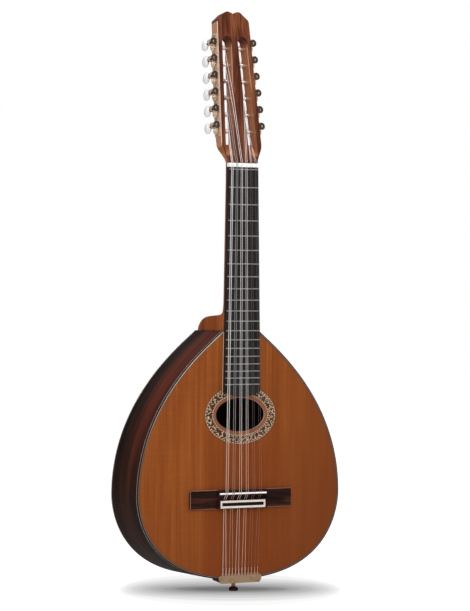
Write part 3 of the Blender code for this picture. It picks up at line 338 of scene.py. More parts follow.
# Grain: scale across, along and of the broad figure. Lines: low, high, depth. Pores: depth, rise
cedarLook = {
    "grain": (620.0, 5.0, 34.0),
    "figure": [(0.3, (0.185, 0.045, 0.008)), (0.5, (0.232, 0.061, 0.011)), (0.7, (0.285, 0.083, 0.0165))],
    "lines": (0.5, 0.68, 0.6),
    "lineColour": (0.14, 0.033, 0.006),
    "pores": (0.06, 0.2),
    "poreColour": (0.09, 0.022, 0.006),
    "rough": (0.3, 0.42),
    "bump": 0.1,
    "specular": 0.06,
}
sideLook = {
    "grain": (300.0, 4.0, 30.0),
    "figure": [(0.36, (0.01, 0.0058, 0.005)), (0.5, (0.02, 0.0098, 0.0076)), (0.66, (0.052, 0.018, 0.0115))],
    "lines": (0.46, 0.6, 0.6),
    "lineColour": (0.008, 0.0045, 0.004),
    "pores": (0.4, 0.4),
    "poreColour": (0.004, 0.003, 0.003),
    "rough": (0.26, 0.38),
    "bump": 0.12,
    "specular": 0.025,
}
headFaceLook = {
    "grain": (330.0, 14.0, 130.0),
    "figure": [(0.34, (0.038, 0.01, 0.005)), (0.5, (0.1, 0.026, 0.0105)), (0.66, (0.2, 0.062, 0.024))],
    "lines": (0.5, 0.62, 0.55),
    "lineColour": (0.04, 0.012, 0.008),
    "pores": (0.5, 0.4),
    "poreColour": (0.02, 0.008, 0.006),
    "rough": (0.26, 0.38),
    "bump": 0.15,
    "specular": 0.1,
}
neckLook = {
    "grain": (420.0, 9.0, 22.0),
    "figure": [(0.3, (0.17, 0.038, 0.01)), (0.5, (0.25, 0.062, 0.015)), (0.7, (0.34, 0.1, 0.026))],
    "lines": (0.5, 0.7, 0.45),
    "lineColour": (0.11, 0.024, 0.009),
    "pores": (0.5, 0.5),
    "poreColour": (0.07, 0.018, 0.008),
    "rough": (0.22, 0.34),
    "bump": 0.12,
    "specular": 0.1,
}
headCoreLook = dict(
    neckLook,
    figure=[(0.3, (0.2, 0.05, 0.014)), (0.5, (0.28, 0.08, 0.022)), (0.7, (0.36, 0.115, 0.035))],
)
ebonyLook = {
    "grain": (900.0, 16.0, 60.0),
    "figure": [(0.3, (0.014, 0.012, 0.012)), (0.55, (0.024, 0.021, 0.021)), (0.75, (0.036, 0.031, 0.031))],
    "lines": (0.5, 0.66, 0.5),
    "lineColour": (0.01, 0.009, 0.01),
    "pores": (0.5, 0.6),
    "poreColour": (0.006, 0.006, 0.006),
    "rough": (0.34, 0.5),
    "bump": 0.18,
    "specular": 0.1,
}
bridgeLook = {
    "grain": (420.0, 12.0, 110.0),
    "figure": [(0.38, (0.01, 0.0045, 0.0038)), (0.54, (0.02, 0.0078, 0.0055)), (0.68, (0.06, 0.019, 0.011))],
    "lines": (0.48, 0.62, 0.6),
    "lineColour": (0.013, 0.0065, 0.0055),
    "pores": (0.5, 0.4),
    "poreColour": (0.008, 0.004, 0.004),
    "rough": (0.3, 0.42),
    "bump": 0.15,
    "specular": 0.04,
}
spruceLook = dict(
    cedarLook,
    figure=[(0.3, (0.5, 0.34, 0.18)), (0.5, (0.58, 0.41, 0.23)), (0.7, (0.64, 0.47, 0.28))],
    lineColour=(0.42, 0.26, 0.13),
    rough=(0.5, 0.7),
)


def paintedLightRedStreaks(vector, colour):
    # Red streaks of heartwood, kept to the front half of the sides' upper part as painted light, where the
    # light from the upper left falls
    x, _, z = parts(vector)
    depth = unsigned(minus(unsigned(x), sideShift))
    streak = noise(scaled(vector, 170, 170, 3.5), detail=4, rough=0.6)
    fine = noise(scaled(vector, 700, 700, 9), detail=2)
    front = times(mask(depth, 0.056, 0.034), mask(z, 0.24, 0.4))
    band = times(times(front, mask(streak, 0.36, 0.62)), plus(times(fine, 0.8), 0.35))
    return mix(band, colour, (0.12, 0.021, 0.0095))


def headParts(vector):
    # 1 inside the slots, on the head's straight sides and on its crest, after the depth and the height
    x, y, z = parts(vector)
    out = plus(unsigned(x), times(z, head["taper"]))
    return y, z, mask(out, 0.0322, 0.0312), mask(out, 0.0352, 0.0358), mask(z, 0.2255, 0.227)


crestShade = (0.1, 0.03, 0.015)


def veneerEdge(vector, colour):
    # Behind the thin rosewood face lies a pale veneer, seen along the straight sides; painted shade darkens
    # it where the slots end at the top
    y, z, inside, _, crest = headParts(vector)
    edge = mix(mask(z, 0.028, 0.034), (0.3, 0.12, 0.06), (0.8, 0.62, 0.53))
    wall = mix(mask(z, 0.11, 0.13), (0.2, 0.08, 0.045), (0.62, 0.4, 0.3))
    edge = mix(crest, mix(inside, edge, wall), crestShade)
    # Painted shade in the slots' round upper ends
    edge = mix(times(inside, mask(z, 0.184, 0.194)), edge, (0.07, 0.018, 0.008))
    return mix(mask(y, 0.0004, 0.0005), colour, edge)


def coreShade(vector, colour):
    # Pale straight sides and slot walls; painted shade darkens the slots' round ends, and the crest's edge is
    # dark
    y, z, inside, side, crest = headParts(vector)
    front = mask(y, head["back"] - 0.4 * mm, head["back"] - 0.8 * mm)
    inside = times(inside, front)
    colour = tint(colour, side, 0.85, (0.45, 0.22, 0.115))
    colour = tint(colour, inside, 0.75, (0.42, 0.18, 0.085))
    colour = mix(times(crest, front), colour, crestShade)
    # Painted shade in the slots' round upper ends
    return mix(times(inside, mask(z, 0.186, 0.2)), colour, (0.1, 0.02, 0.006))


def litAndShadedLine(vector, colour):
    # The pale edge lines are kept palest by the neck and to the left as a painted highlight, and painted
    # shade darkens them elsewhere
    x, _, z = parts(vector)
    far = minus(times(x, 1.5), z)
    paintedShade = maths("MAXIMUM", mask(far, 0.24, 0.32), mask(z, -0.29, -0.46))
    return mix(paintedShade, colour, (0.15, 0.095, 0.07))


def paleNeck(vector, colour):
    # Above its foot, the end button is paler
    return mix(mask(parts(vector)["Z"], -0.6672, -0.6662), colour, (0.33, 0.17, 0.1))


def shaded(look, low, high, line, **changes):
    # The same wood in two other shades, with its growth lines in a third
    return dict(look, figure=[(0.3, low), (0.6, high)], lineColour=line, **changes)


# Turns world points into the head's frame: Y is the depth behind the face
inHead = {
    "turn": (head["tilt"], 0, 0),
    "offset": tuple(Matrix.Rotation(head["tilt"], 3, "X") @ -head["pivot"]),
}
grainX = (0, math.pi / 2, 0)
grainUV = (math.pi / 2, 0, 0)
polished = (0.2, 0.3)
# A paler copy of the bridge wood, put on the bridge's bevelled edges as a painted highlight
bevelHighlightLook = shaded(bridgeLook, (0.2, 0.11, 0.08), (0.36, 0.22, 0.17), (0.12, 0.06, 0.045))
holeLook = shaded(spruceLook, (0.5, 0.32, 0.2), (0.66, 0.46, 0.32), (0.4, 0.22, 0.13))
lineLook = shaded(spruceLook, (0.46, 0.37, 0.33), (0.6, 0.5, 0.45), (0.36, 0.27, 0.23), rough=(0.3, 0.4))
sideLineLook = shaded(lineLook, (0.3, 0.24, 0.21), (0.4, 0.33, 0.29), (0.24, 0.18, 0.15))
backLineLook = shaded(lineLook, (0.34, 0.29, 0.26), (0.46, 0.4, 0.37), (0.36, 0.27, 0.23))
cedarTop = woodMaterial("cedarTop", cedarLook, warmTop)
sideRosewood = woodMaterial("sideRosewood", sideLook, paintedLightRedStreaks, coordinate="UV", turn=grainUV)
backRosewood = woodMaterial("backRosewood", sideLook)
headFace = woodMaterial("headFace", headFaceLook, veneerEdge, **inHead)
headCore = woodMaterial("headCore", headCoreLook, coreShade, **inHead)
neckCedar = woodMaterial("neckCedar", neckLook)
ebonyBoard = woodMaterial("ebonyBoard", ebonyLook)
ebonyEdge = woodMaterial("ebonyEdge", dict(ebonyLook, rough=polished))
bridgeWood = woodMaterial("bridgeWood", bridgeLook, turn=grainX)
innerSpruce = woodMaterial("innerSpruce", spruceLook)
innerCrossSpruce = woodMaterial("innerCrossSpruce", spruceLook, turn=grainX)
buttonWood = woodMaterial("buttonWood", dict(bridgeLook, rough=polished), paleNeck)
bevelHighlight = woodMaterial("bevelHighlight", bevelHighlightLook, turn=grainX)
holeEdge = woodMaterial("holeEdge", holeLook)
paleLine = woodMaterial("paleLine", lineLook, litAndShadedLine)
sideLine = woodMaterial("sideLine", sideLineLook)
backLine = woodMaterial("backLine", backLineLook)
print("woods ready")


# Metals, bone and pearl

# Each metal: bright and dull colour, lowest and highest roughness, bump and metallic share
goldPlate = metalMaterial("goldPlate", (0.68, 0.5, 0.38), (0.45, 0.31, 0.22), (0.26, 0.46), 0.1, 0.35)
brassGear = metalMaterial("brassGear", (0.95, 0.74, 0.52), (0.6, 0.4, 0.24), (0.2, 0.36), 0.08, 0.5)
# Dark steel for the worms, also painted on the brass ears' rims as shade
wormSteelAndShade = metalMaterial("wormSteelAndShade", (0.08, 0.058, 0.045), (0.03, 0.021, 0.016), (0.2, 0.34), 0.08, 0.5)
tailBrass = metalMaterial("tailBrass", (0.33, 0.212, 0.115), (0.21, 0.132, 0.07), (0.42, 0.56), 0.1, 0.3)
fretSilver = metalMaterial("fretSilver", (0.36, 0.35, 0.33), (0.24, 0.23, 0.22), (0.3, 0.44), 0.05, 0.5)
rollerSteel = metalMaterial("rollerSteel", (0.9, 0.78, 0.68), (0.7, 0.55, 0.45), (0.1, 0.17), 0.02, 0.9)
screwSteel = metalMaterial("screwSteel", (0.6, 0.5, 0.36), (0.3, 0.25, 0.17), (0.25, 0.45), 0.1, 0.9)


def makeWire(name, bright, dull, low, wound=False):
    # low is a painted reflection of the cedar, laid on a wire where it runs over the top; above the nut the
    # wire has no painted reflection
    material, vector = startMaterial(name)
    z = parts(vector)["Z"]
    rough = (0.3, 0.42) if wound else (0.36, 0.46)
    plated = useGroup(platedMetal, vector, Bright=bright, Dull=dull, Low=rough[0], High=rough[1])
    colour = mix(mask(z, -0.425, -0.445), plated["Color"], low)
    colour = mix(mask(z, -0.02, 0.0), colour, bright if wound else (0.8, 0.79, 0.8))
    ridges = None
    if wound:
        # Round wire wound on a core: faint ridges across the string
        ridges = (maths("SINE", times(z, 2 * math.pi / (0.35 * mm))), 0.05, 0.02 * mm)
    return finishMaterial(material, colour, plated["Roughness"], {"Metallic": 0.45 if wound else 0.2}, ridges)


def makeBone(name, shade):
    material, vector = startMaterial(name)
    streak = noise(scaled(vector, 120, 500, 500), detail=4, rough=0.6)
    cloud = noise(vector, scale=90, detail=3)
    colour = ramp(streak, [(0.35, (0.84, 0.82, 0.79)), (0.65, (0.92, 0.905, 0.88))])
    colour = tint(colour, mask(cloud, 0.5, 0.8), 0.2, (0.82, 0.77, 0.68))
    colour = mix(1.0, colour, shade, "MULTIPLY")
    film = useGroup(lacquer, vector, Low=0.22, High=0.34)
    constants = {"Subsurface Weight": 0.1, "Subsurface Scale": 2 * mm}
    return finishMaterial(material, colour, film["Roughness"], constants, (film["Height"], 0.1, 0.1 * mm))


def makePearl():
    # Pearl-like plastic: folded clouds of cream, grey and a hint of green and rose
    material, vector = startMaterial("pearlButton")
    cloud = noise(vector, scale=140, detail=3, rough=0.6, distortion=2.5)
    hint = noise(vector, scale=60, detail=2, distortion=1.2)
    colour = ramp(cloud, [(0.3, (0.66, 0.65, 0.68)), (0.5, (0.84, 0.83, 0.85)), (0.7, (0.94, 0.93, 0.94))])
    shade = ramp(hint, [(0.35, (0.78, 0.9, 0.86)), (0.5, (1, 1, 1)), (0.65, (0.95, 0.84, 0.84))])
    film = useGroup(lacquer, vector, Low=0.1, High=0.2)
    colour = mix(0.6, colour, shade, "MULTIPLY")
    return finishMaterial(material, colour, film["Roughness"], {"Coat Weight": 0.4}, (cloud, 0.05, 0.2 * mm))


mosaicRing = {
    "rows": 10,
    "period": 10,
    "tile": 1.5 * mm,
    "cream": (0.52, 0.385, 0.25),
    "rose": (0.09, 0.034, 0.02),
    "dark": (0.018, 0.011, 0.009),
}


def makeMosaic():
    # Rosette on its own UV map: U counts tiles round the ring, V runs across it
    material, vector = startMaterial("mosaic", coordinate="UV")
    cream, rose, dark = mosaicRing["cream"], mosaicRing["rose"], mosaicRing["dark"]
    period, rows = float(mosaicRing["period"]), mosaicRing["rows"]
    around, across, _ = parts(vector)
    column = maths("FLOOR", around)
    row = maths("FLOOR", times(across, float(rows)))
    place = minus(maths("MODULO", column, period), period / 2)
    rise = minus(row, rows // 2)
    # A lozenge with a stroke that leans through its neighbour, as in an old key pattern
    lozenge = maths("DIVIDE", plus(unsigned(place), unsigned(rise)), 12.0)
    stops = [(0.0, dark), (0.12, rose), (0.2, cream), (0.29, dark), (0.37, rose), (0.46, dark), (0.54, rose)]
    motif = ramp(lozenge, stops, "CONSTANT")
    stroke = maths("COMPARE", plus(place, rise), -3.0)
    stroke.node.inputs[2].default_value = 0.6
    motif = mix(stroke, motif, cream)
    cell = {"Vector": combined(vector.id_data, column, row)}
    scatter = addNode(vector.id_data, "ShaderNodeTexWhiteNoise", cell, noise_dimensions="2D")
    chance = scatter.outputs["Value"]
    motif = mix(mask(chance, 0.9, 0.91), motif, cream)
    motif = mix(mask(chance, 0.2, 0.19), motif, rose)
    # Towards both rims: a rope of beads, a cream line and a dark rim
    rope = mix(above(maths("MODULO", column, 3.0), 0.5), cream, rose)
    edge = unsigned(minus(across, 0.49))
    colour = motif
    for start, shade in ((0.32, rope), (0.42, cream), (0.455, dark)):
        colour = mix(above(edge, start), colour, shade)
    colour = tint(colour, maths("LESS_THAN", maths("FRACT", around), 0.08), 0.35, dark)
    film = useGroup(lacquer, vector, Low=0.3, High=0.42)
    bump = (film["Height"], 0.06, 0.2 * mm)
    return finishMaterial(material, colour, film["Roughness"], {"Specular IOR Level": 0.08}, bump)


# Each wire's last colour is a painted reflection of the cedar top
woundBright = makeWire("woundBright", (0.84, 0.82, 0.8), (0.7, 0.68, 0.66), (0.66, 0.5, 0.44), wound=True)
woundGrey = makeWire("woundGrey", (0.34, 0.325, 0.325), (0.27, 0.255, 0.255), (0.42, 0.25, 0.19), wound=True)
brightWire = makeWire("brightWire", (0.7, 0.675, 0.66), (0.6, 0.57, 0.55), (0.62, 0.44, 0.37))
# The thinnest wires are painted dark below the nut, as a painted dark reflection
thinWire = makeWire("thinWire", (0.11, 0.095, 0.09), (0.085, 0.07, 0.065), (0.3, 0.14, 0.09))
bone = makeBone("bone", (1.0, 1.0, 1.0))
agedBone = makeBone("agedBone", (0.68, 0.64, 0.6))
pearl = makePearl()
mosaic = makeMosaic()
print("metals, bone and pearl ready")


# Mesh helpers

def moveBy(x=0, y=0, z=0):
    return Matrix.Translation((x, y, z))


def quarterTurn(axis, share=1):
    return Matrix.Rotation(share * math.pi / 2, 4, axis)


def linkNew(name, data):
    piece = bpy.data.objects.new(name, data)
    bpy.context.scene.collection.objects.link(piece)
    return piece


def finishPiece(bm, name, material, body="laud", stands=(), sharp=30, bevel=0.0, clean=True):
    if clean:
        bmesh.ops.remove_doubles(bm, verts=bm.verts, dist=1e-7)
        faceOut(bm)
    mesh = bpy.data.meshes.new(name)
    bm.to_mesh(mesh)
    bm.free()
    piece = linkNew(name, mesh)
    mesh.materials.append(material)
    mesh.shade_smooth()
    mesh.set_sharp_from_angle(angle=math.radians(sharp))
    if bevel:
        rounded = piece.modifiers.new("rounded", "BEVEL")
        rounded.width = bevel
        rounded.segments = 2
        rounded.limit_method = "ANGLE"
        rounded.angle_limit = math.radians(40)
        rounded.harden_normals = True
    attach(piece, body)
    if stands:
        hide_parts(*stands)
    return piece


def refined(node, name, material, bevel):
    # A merged copy of a CAD node, with its edges eased
    bm = bmesh.new()
    bm.from_mesh(nodes[node].data)
    bmesh.ops.remove_doubles(bm, verts=bm.verts, dist=1e-6)
    bmesh.ops.dissolve_limit(bm, angle_limit=math.radians(0.6), verts=bm.verts, edges=bm.edges)
    faceOut(bm)
    return finishPiece(bm, name, material, "laud", (node,), sharp=32, bevel=bevel, clean=False)


def faceOut(bm):
    bmesh.ops.recalc_face_normals(bm, faces=bm.faces)


def newVerts(grown):
    return [item for item in grown["geom"] if isinstance(item, bmesh.types.BMVert)]


def addRing(bm, points):
    verts = [bm.verts.new(point) for point in points]
    return verts, [bm.edges.new(pair) for pair in zip(verts, verts[1:] + verts[:1])]


def growRing(bm, verts, points):
    # Extrudes a closed ring and moves the new one, kept in the same order, into place
    edges = [bm.edges.get(pair) for pair in zip(verts, verts[1:] + verts[:1])]
    fresh = newVerts(bmesh.ops.extrude_edge_only(bm, edges=edges))
    spots = {tuple(round(c, 7) for c in vert.co): vert for vert in fresh}
    ring = [spots[tuple(round(c, 7) for c in vert.co)] for vert in verts]
    for vert, point in zip(ring, points):
        vert.co = point
    return ring


def loftRings(bm, rings):
    verts = addRing(bm, rings[0])[0]
    bm.faces.new(verts)
    for points in rings[1:]:
        verts = growRing(bm, verts, points)
    bm.faces.new(verts)


def push(bm, faces, vector):
    verts = newVerts(bmesh.ops.extrude_face_region(bm, geom=faces))
    bmesh.ops.translate(bm, vec=vector, verts=verts)
    return verts


def addBox(bm, size, centre):
    verts = bmesh.ops.create_cube(bm, size=1)["verts"]
    bmesh.ops.scale(bm, vec=size, verts=verts)
    bmesh.ops.translate(bm, vec=centre, verts=verts)


def flatShape(outer, front, back, holes=()):
    # A plate facing -Y, cut to an outline given as (x, z) points
    bm = bmesh.new()
    edges = []
    for loop in (outer, *holes):
        edges += addRing(bm, [(x, front, z) for x, z in loop])[1]
    bmesh.ops.triangle_fill(bm, use_beauty=True, use_dissolve=False, edges=edges)
    push(bm, list(bm.faces), (0, back - front, 0))
    return bm


def merge(bm, part, matrix=None):
    if matrix:
        bmesh.ops.transform(part, matrix=matrix, verts=part.verts)
    held = bpy.data.meshes.new("held")
    part.to_mesh(held)
    part.free()
    bm.from_mesh(held)
    bpy.data.meshes.remove(held)


def turned(bm, profile, steps, axis=(0, 1, 0), centre=(0, 0, 0)):
    # Spins an open profile of points into a closed round shape
    verts = [bm.verts.new(point) for point in profile]
    edges = [bm.edges.new(pair) for pair in zip(verts, verts[1:])]
    whole = {"angle": 2 * math.pi, "steps": steps, "use_merge": True}
    bmesh.ops.spin(bm, geom=verts + edges, cent=centre, axis=axis, **whole)


# Outlines of the body

def curvePoints(a, b, c, d, steps):
    a, b, c, d = map(Vector, (a, b, c, d))
    made = []
    for step in range(steps):
        t = step / steps
        s = 1 - t
        made.append(a * s**3 + b * 3 * s * s * t + c * 3 * s * t * t + d * t**3)
    return made


def halfOutline(inset=0.0):
    # From the middle of the bottom, up the right side to the neck
    widest = body["saddle"] - body["waistDrop"]
    low = body["saddle"] - body["bottom"]
    half, joint, jointHalf, steps = body["half"], body["joint"], body["jointHalf"], body["steps"]
    waist, corner = (half, widest), (jointHalf, joint)
    nearCorner = (jointHalf + body["cornerPull"][0], joint - body["cornerPull"][1])
    under, over = (half, widest - body["lowPull"]), (half, widest + body["highPull"])
    points = curvePoints((0, low), (body["bottomPull"], low), under, waist, steps)
    points += curvePoints(waist, over, nearCorner, corner, steps)
    points.append(Vector(corner))
    shifted = []
    for i, point in enumerate(points):
        before = points[i - 1] if i else Vector((-points[1].x, points[1].y))
        after = points[i + 1] if i + 1 < len(points) else point + (point - before)
        along = (after - before).normalized()
        shifted.append(point + Vector((-along.y, along.x)) * inset)
    return shifted


def wholeOutline(inset):
    right = halfOutline(inset)
    return [tuple(p) for p in right] + [(-p.x, p.y) for p in reversed(right)][:-1]


def openBand(outer, inner):
    made = []
    for inset in (outer, inner):
        right = halfOutline(inset)
        made.append([(-p.x, p.y) for p in reversed(right)][:-1] + [tuple(p) for p in right])
    return made[0] + made[1][::-1]


def ovalPoints(extra, count=96):
    made = []
    for i in range(count):
        angle = 2 * math.pi * i / count
        z = body["hole"] + (body["holeZ"] + extra) * math.sin(angle)
        made.append(((body["holeX"] + extra) * math.cos(angle), z))
    return made


# Soundbox

def makeTop():
    bm = flatShape(wholeOutline(body["plateInset"]), 0, body["plate"], [ovalPoints(0)])
    faceOut(bm)
    rim = []
    for edge in bm.edges:
        middle = (edge.verts[0].co + edge.verts[1].co) / 2
        near = ((middle.x / body["holeX"]) ** 2 + ((middle.z - body["hole"]) / body["holeZ"]) ** 2) < 1.01
        if near and all(v.co.y < 1e-6 for v in edge.verts) and len({v.co.y for v in edge.verts}) == 1:
            rim.append(edge)
    bmesh.ops.bevel(bm, geom=rim, offset=0.5 * mm, segments=3, profile=0.5, affect="EDGES", material=-1)
    return finishPiece(bm, "top", cedarTop, stands=("soundboard",))


def makeRosette():
    # A strip of quads round the hole, so that the tiles follow the ring
    count, front, thick = 240, -0.05 * mm, 1.0 * mm
    bm = bmesh.new()
    uv = bm.loops.layers.uv.new("UVMap")
    inner = [(x, front, z) for x, z in ovalPoints(body["rosetteInner"], count)]
    outer = [(x, front, z) for x, z in ovalPoints(body["rosetteOuter"], count)]
    ring = addRing(bm, inner)[0]
    far = growRing(bm, ring, outer)
    lengths = [0.0]
    middle = [(a + b) / 2 for a, b in zip(map(Vector, inner), map(Vector, outer))]
    for a, b in zip(middle, middle[1:] + middle[:1]):
        lengths.append(lengths[-1] + (b - a).length)
    period = mosaicRing["period"]
    tiles = period * round(lengths[-1] / mosaicRing["tile"] / period)
    spot = {}
    for i in range(count):
        spot[ring[i]] = (i, 0.0)
        spot[far[i]] = (i, 1.0)
    for face in bm.faces:
        found = [spot[loop.vert] for loop in face.loops]
        wraps = max(f[0] for f in found) - min(f[0] for f in found) > 1
        for loop, (i, across) in zip(face.loops, found):
            step = count if wraps and i == 0 else i
            loop[uv].uv = (tiles * lengths[step] / lengths[-1], across)
    faceOut(bm)
    push(bm, list(bm.faces), (0, thick, 0))
    faceOut(bm)
    return finishPiece(bm, "rosetteRing", mosaic, stands=("rosette",), clean=False)


def makeHoleEdge():
    # Pale end grain round the hole's wall, under a thin rounded lip
    wall = flatShape(ovalPoints(0.15 * mm), 0.55 * mm, 2.65 * mm, [ovalPoints(-0.05 * mm)])
    return finishPiece(wall, "soundHoleEdge", holeEdge)


def makeEdges():
    # Each row: inset of both outlines, front, back, name, material, slot, replaced nodes and bevel
    deep = body["depth"] / mm
    rows = [
        (0.05, 2, 0, 4, "topBinding", ebonyEdge, "ebony", ("top_binding",), 0.5),
        (0.05, 2, deep - 4, deep - 0.05, "backBinding", ebonyEdge, "ebony", ("back_binding",), 0.5),
        (1.8, 3.0, -0.06, 0.5, "topPurfling", paleLine, "bone", (), 0),
        (3.0, 3.7, -0.05, 0.5, "topInnerLine", ebonyEdge, "ebony", (), 0),
        (0, 0.6, 2.3, 3.2, "topSideLine", sideLine, "bone", (), 0),
        (0, 0.6, deep - 2.4, deep - 0.6, "backSideLine", backLine, "bone", (), 0),
        (1.8, 2.8, deep - 0.5, deep, "backPurfling", paleLine, "bone", (), 0),
    ]
    for outer, inner, front, back, name, material, slot, stands, bevel in rows:
        shape = flatShape(openBand(outer * mm, inner * mm), front * mm, back * mm)
        finishPiece(shape, name, material, stands=stands, bevel=bevel * mm)


def makeSides():
    # Bent sides, with U across the grain and V along it, in metres
    front, wide, rows = 4.3 * mm, 79.9 * mm, 4
    for side, name, node in ((-1, "sideLeft", "rib_left"), (1, "sideRight", "rib_right")):
        points = halfOutline(0.02 * mm)
        bm = bmesh.new()
        uv = bm.loops.layers.uv.new("UVMap")
        verts = [bm.verts.new((side * p.x, front, p.y)) for p in points]
        edges = [bm.edges.new(pair) for pair in zip(verts, verts[1:])]
        run = [0.0]
        for a, b in zip(points, points[1:]):
            run.append(run[-1] + (b - a).length)
        place = {(round(p.x, 6), round(p.y, 6)): along for p, along in zip(points, run)}
        for _ in range(rows):
            grown = bmesh.ops.extrude_edge_only(bm, edges=edges)
            fresh = newVerts(grown)
            bmesh.ops.translate(bm, vec=(0, wide / rows, 0), verts=fresh)
            edges = [g for g in grown["geom"] if isinstance(g, bmesh.types.BMEdge)]
            edges = [e for e in edges if e.verts[0] in fresh and e.verts[1] in fresh]
        for face in bm.faces:
            for loop in face.loops:
                at = loop.vert.co
                loop[uv].uv = (at.y + side * sideShift, place[(round(abs(at.x), 6), round(at.z, 6))])
        faceOut(bm)
        middle = bm.faces[:][len(bm.faces) // 2]
        if middle.normal.x * side < 0:
            bmesh.ops.reverse_faces(bm, faces=bm.faces)
        bmesh.ops.solidify(bm, geom=bm.faces[:], thickness=2 * mm)
        finishPiece(bm, name, sideRosewood, stands=(node,), clean=False)


seamLine = {"size": (1.6 * mm, 0.4 * mm, 381 * mm), "sunk": 0.2 * mm, "drop": 193 * mm}


def makeBack():
    deep = body["depth"]
    plate = flatShape(wholeOutline(body["plateInset"]), deep - body["plate"], deep - 0.05 * mm)
    finishPiece(plate, "back", backRosewood, stands=("back_plate",))
    seam = bmesh.new()
    addBox(seam, seamLine["size"], (0, deep - seamLine["sunk"], body["joint"] - seamLine["drop"]))
    finishPiece(seam, "backSeam", paleLine)


makeTop()
makeHoleEdge()
makeRosette()
makeEdges()
makeSides()
makeBack()
keptNodes = {
    "top_lining": innerSpruce,
    "upper_brace": innerCrossSpruce,
    "lower_brace": innerCrossSpruce,
    "tail_block": neckCedar,
}
for node, material in keptNodes.items():
    for place in nodes[node].material_slots:
        place.link = "OBJECT"
        place.material = material
print("soundbox ready")


# Neck and fingerboard. The heel's rows: height over the joint, depth, power of the curve and narrowing

neck = {
    "halfNut": 26.3 * mm,
    "halfJoint": 30.4 * mm,
    "deepJoint": 17 * mm,
    "deepNut": 14.5 * mm,
    "zeroFret": -18 * mm,
    "headStart": 2.7 * mm,
    "heelTop": 42 * mm,
    # The foot inside the body: its size, its middle's depth and how far it lies under the joint
    "footSize": (50 * mm, 82.5 * mm, 36 * mm),
    "footDepth": 44.2 * mm,
    "footDrop": 16 * mm,
    "heel": [
        (0, 88.5, 20, 0),
        (5, 87.5, 18, 0.005),
        (11.5, 84, 14, 0.01),
        (17.5, 77, 11, 0.02),
        (21.3, 66, 8, 0.03),
        (23, 50, 5.5, 0.04),
        (24, 35, 3.6, 0.03),
        (25.8, 25, 2.8, 0.02),
        (30, 20, 2.3, 0),
        (42, 17, 2.1, 0),
    ],
}


def boardHalf(z):
    slope = (neck["halfJoint"] - neck["halfNut"]) / (neck["zeroFret"] - body["joint"])
    return neck["halfNut"] + slope * (neck["zeroFret"] - z)


def sectionPoints(z, half, deep, power, narrow=0.0, count=28):
    made = []
    for i in range(count + 1):
        angle = math.pi * i / count
        across = math.copysign(abs(math.cos(angle)) ** (2 / power), math.cos(angle))
        behind = math.sin(angle) ** (2 / power)
        made.append((half * across * (1 - narrow * behind), deep * behind, z))
    return made


def between(rows, share):
    # A smooth value between the rows' own, by a Catmull-Rom curve
    last = len(rows) - 1
    i = min(int(share * last), last - 1)
    t = share * last - i
    a, b, c, d = (Vector(rows[min(max(i + k, 0), last)]) for k in (-1, 0, 1, 2))
    return 0.5 * (2 * b + (c - a) * t + (2 * a - 5 * b + 4 * c - d) * t * t + (3 * b - a - 3 * c + d) * t**3)


def makeNeck():
    heelSteps, neckSteps = 40, 11
    rings = []
    for step in range(heelSteps + 1):
        up, deep, power, narrow = between(neck["heel"], step / heelSteps)
        z = body["joint"] + up * mm
        rings.append(sectionPoints(z, boardHalf(z), deep * mm, power, narrow))
    low = body["joint"] + neck["heelTop"]
    for step in range(1, neckSteps):
        share = step / neckSteps
        z = low + (neck["zeroFret"] - low) * share
        deep = neck["deepJoint"] + (neck["deepNut"] - neck["deepJoint"]) * share
        rings.append(sectionPoints(z, boardHalf(z), deep, 2.1 + 0.2 * share))
    # The last ring lies in the head's slanted plane
    top = []
    for x, y, z in sectionPoints(0, neck["halfNut"], neck["deepNut"] + 0.3 * mm, 2.4):
        rise = neck["headStart"] - 0.3 * mm - (y - head["pivot"].y) * math.sin(head["tilt"])
        top.append((x, y, head["pivot"].z + rise / math.cos(head["tilt"])))
    rings.append(top)
    bm = bmesh.new()
    loftRings(bm, rings)
    addBox(bm, neck["footSize"], (0, neck["footDepth"], body["joint"] - neck["footDrop"]))
    return finishPiece(bm, "neckAndHeel", neckCedar, stands=("neck",), sharp=38)


board = {
    "front": -6.3 * mm,
    "back": -0.3 * mm,
    "endCorner": -363 * mm,
    "endCentre": -370.5 * mm,
    "top": -14.8 * mm,
    "scale": 500 * mm,
    "fretTall": 1.1 * mm,
    "fretWide": 1.7 * mm,
    "fretShort": 0.35 * mm,
    "frets": 19,
}


def makeBoard():
    front, steps = board["front"], 24
    outline = []
    for i in range(steps + 1):
        share = 2 * i / steps - 1
        z = board["endCorner"] - (board["endCorner"] - board["endCentre"]) * (1 - share * share)
        outline.append((boardHalf(board["endCorner"]) * share, z))
    top = boardHalf(board["top"])
    outline += [(top, board["top"]), (-top, board["top"])]
    wood = flatShape(outline, front, board["back"])
    finishPiece(wood, "ebonyFingerboard", ebonyBoard, stands=("fingerboard",), bevel=0.35 * mm)
    bm = bmesh.new()
    radius = board["fretWide"] / 2
    round_ = {"cap_ends": True, "segments": 20, "radius1": radius, "radius2": radius}
    for number in range(board["frets"] + 1):
        z = body["saddle"] + board["scale"] * 2 ** (-number / 12)
        half = boardHalf(z) - board["fretShort"]
        matrix = moveBy(0, front, z) @ quarterTurn("Y")
        for vert in bmesh.ops.create_cone(bm, depth=2 * half, matrix=matrix, **round_)["verts"]:
            vert.co.y = front + (vert.co.y - front) * 2 * board["fretTall"] / board["fretWide"]
            rise = front - vert.co.y
            vert.co.x -= math.copysign(max(rise, 0) * 0.7, vert.co.x)
    finishPiece(bm, "fretWires", fretSilver, sharp=50, clean=False)


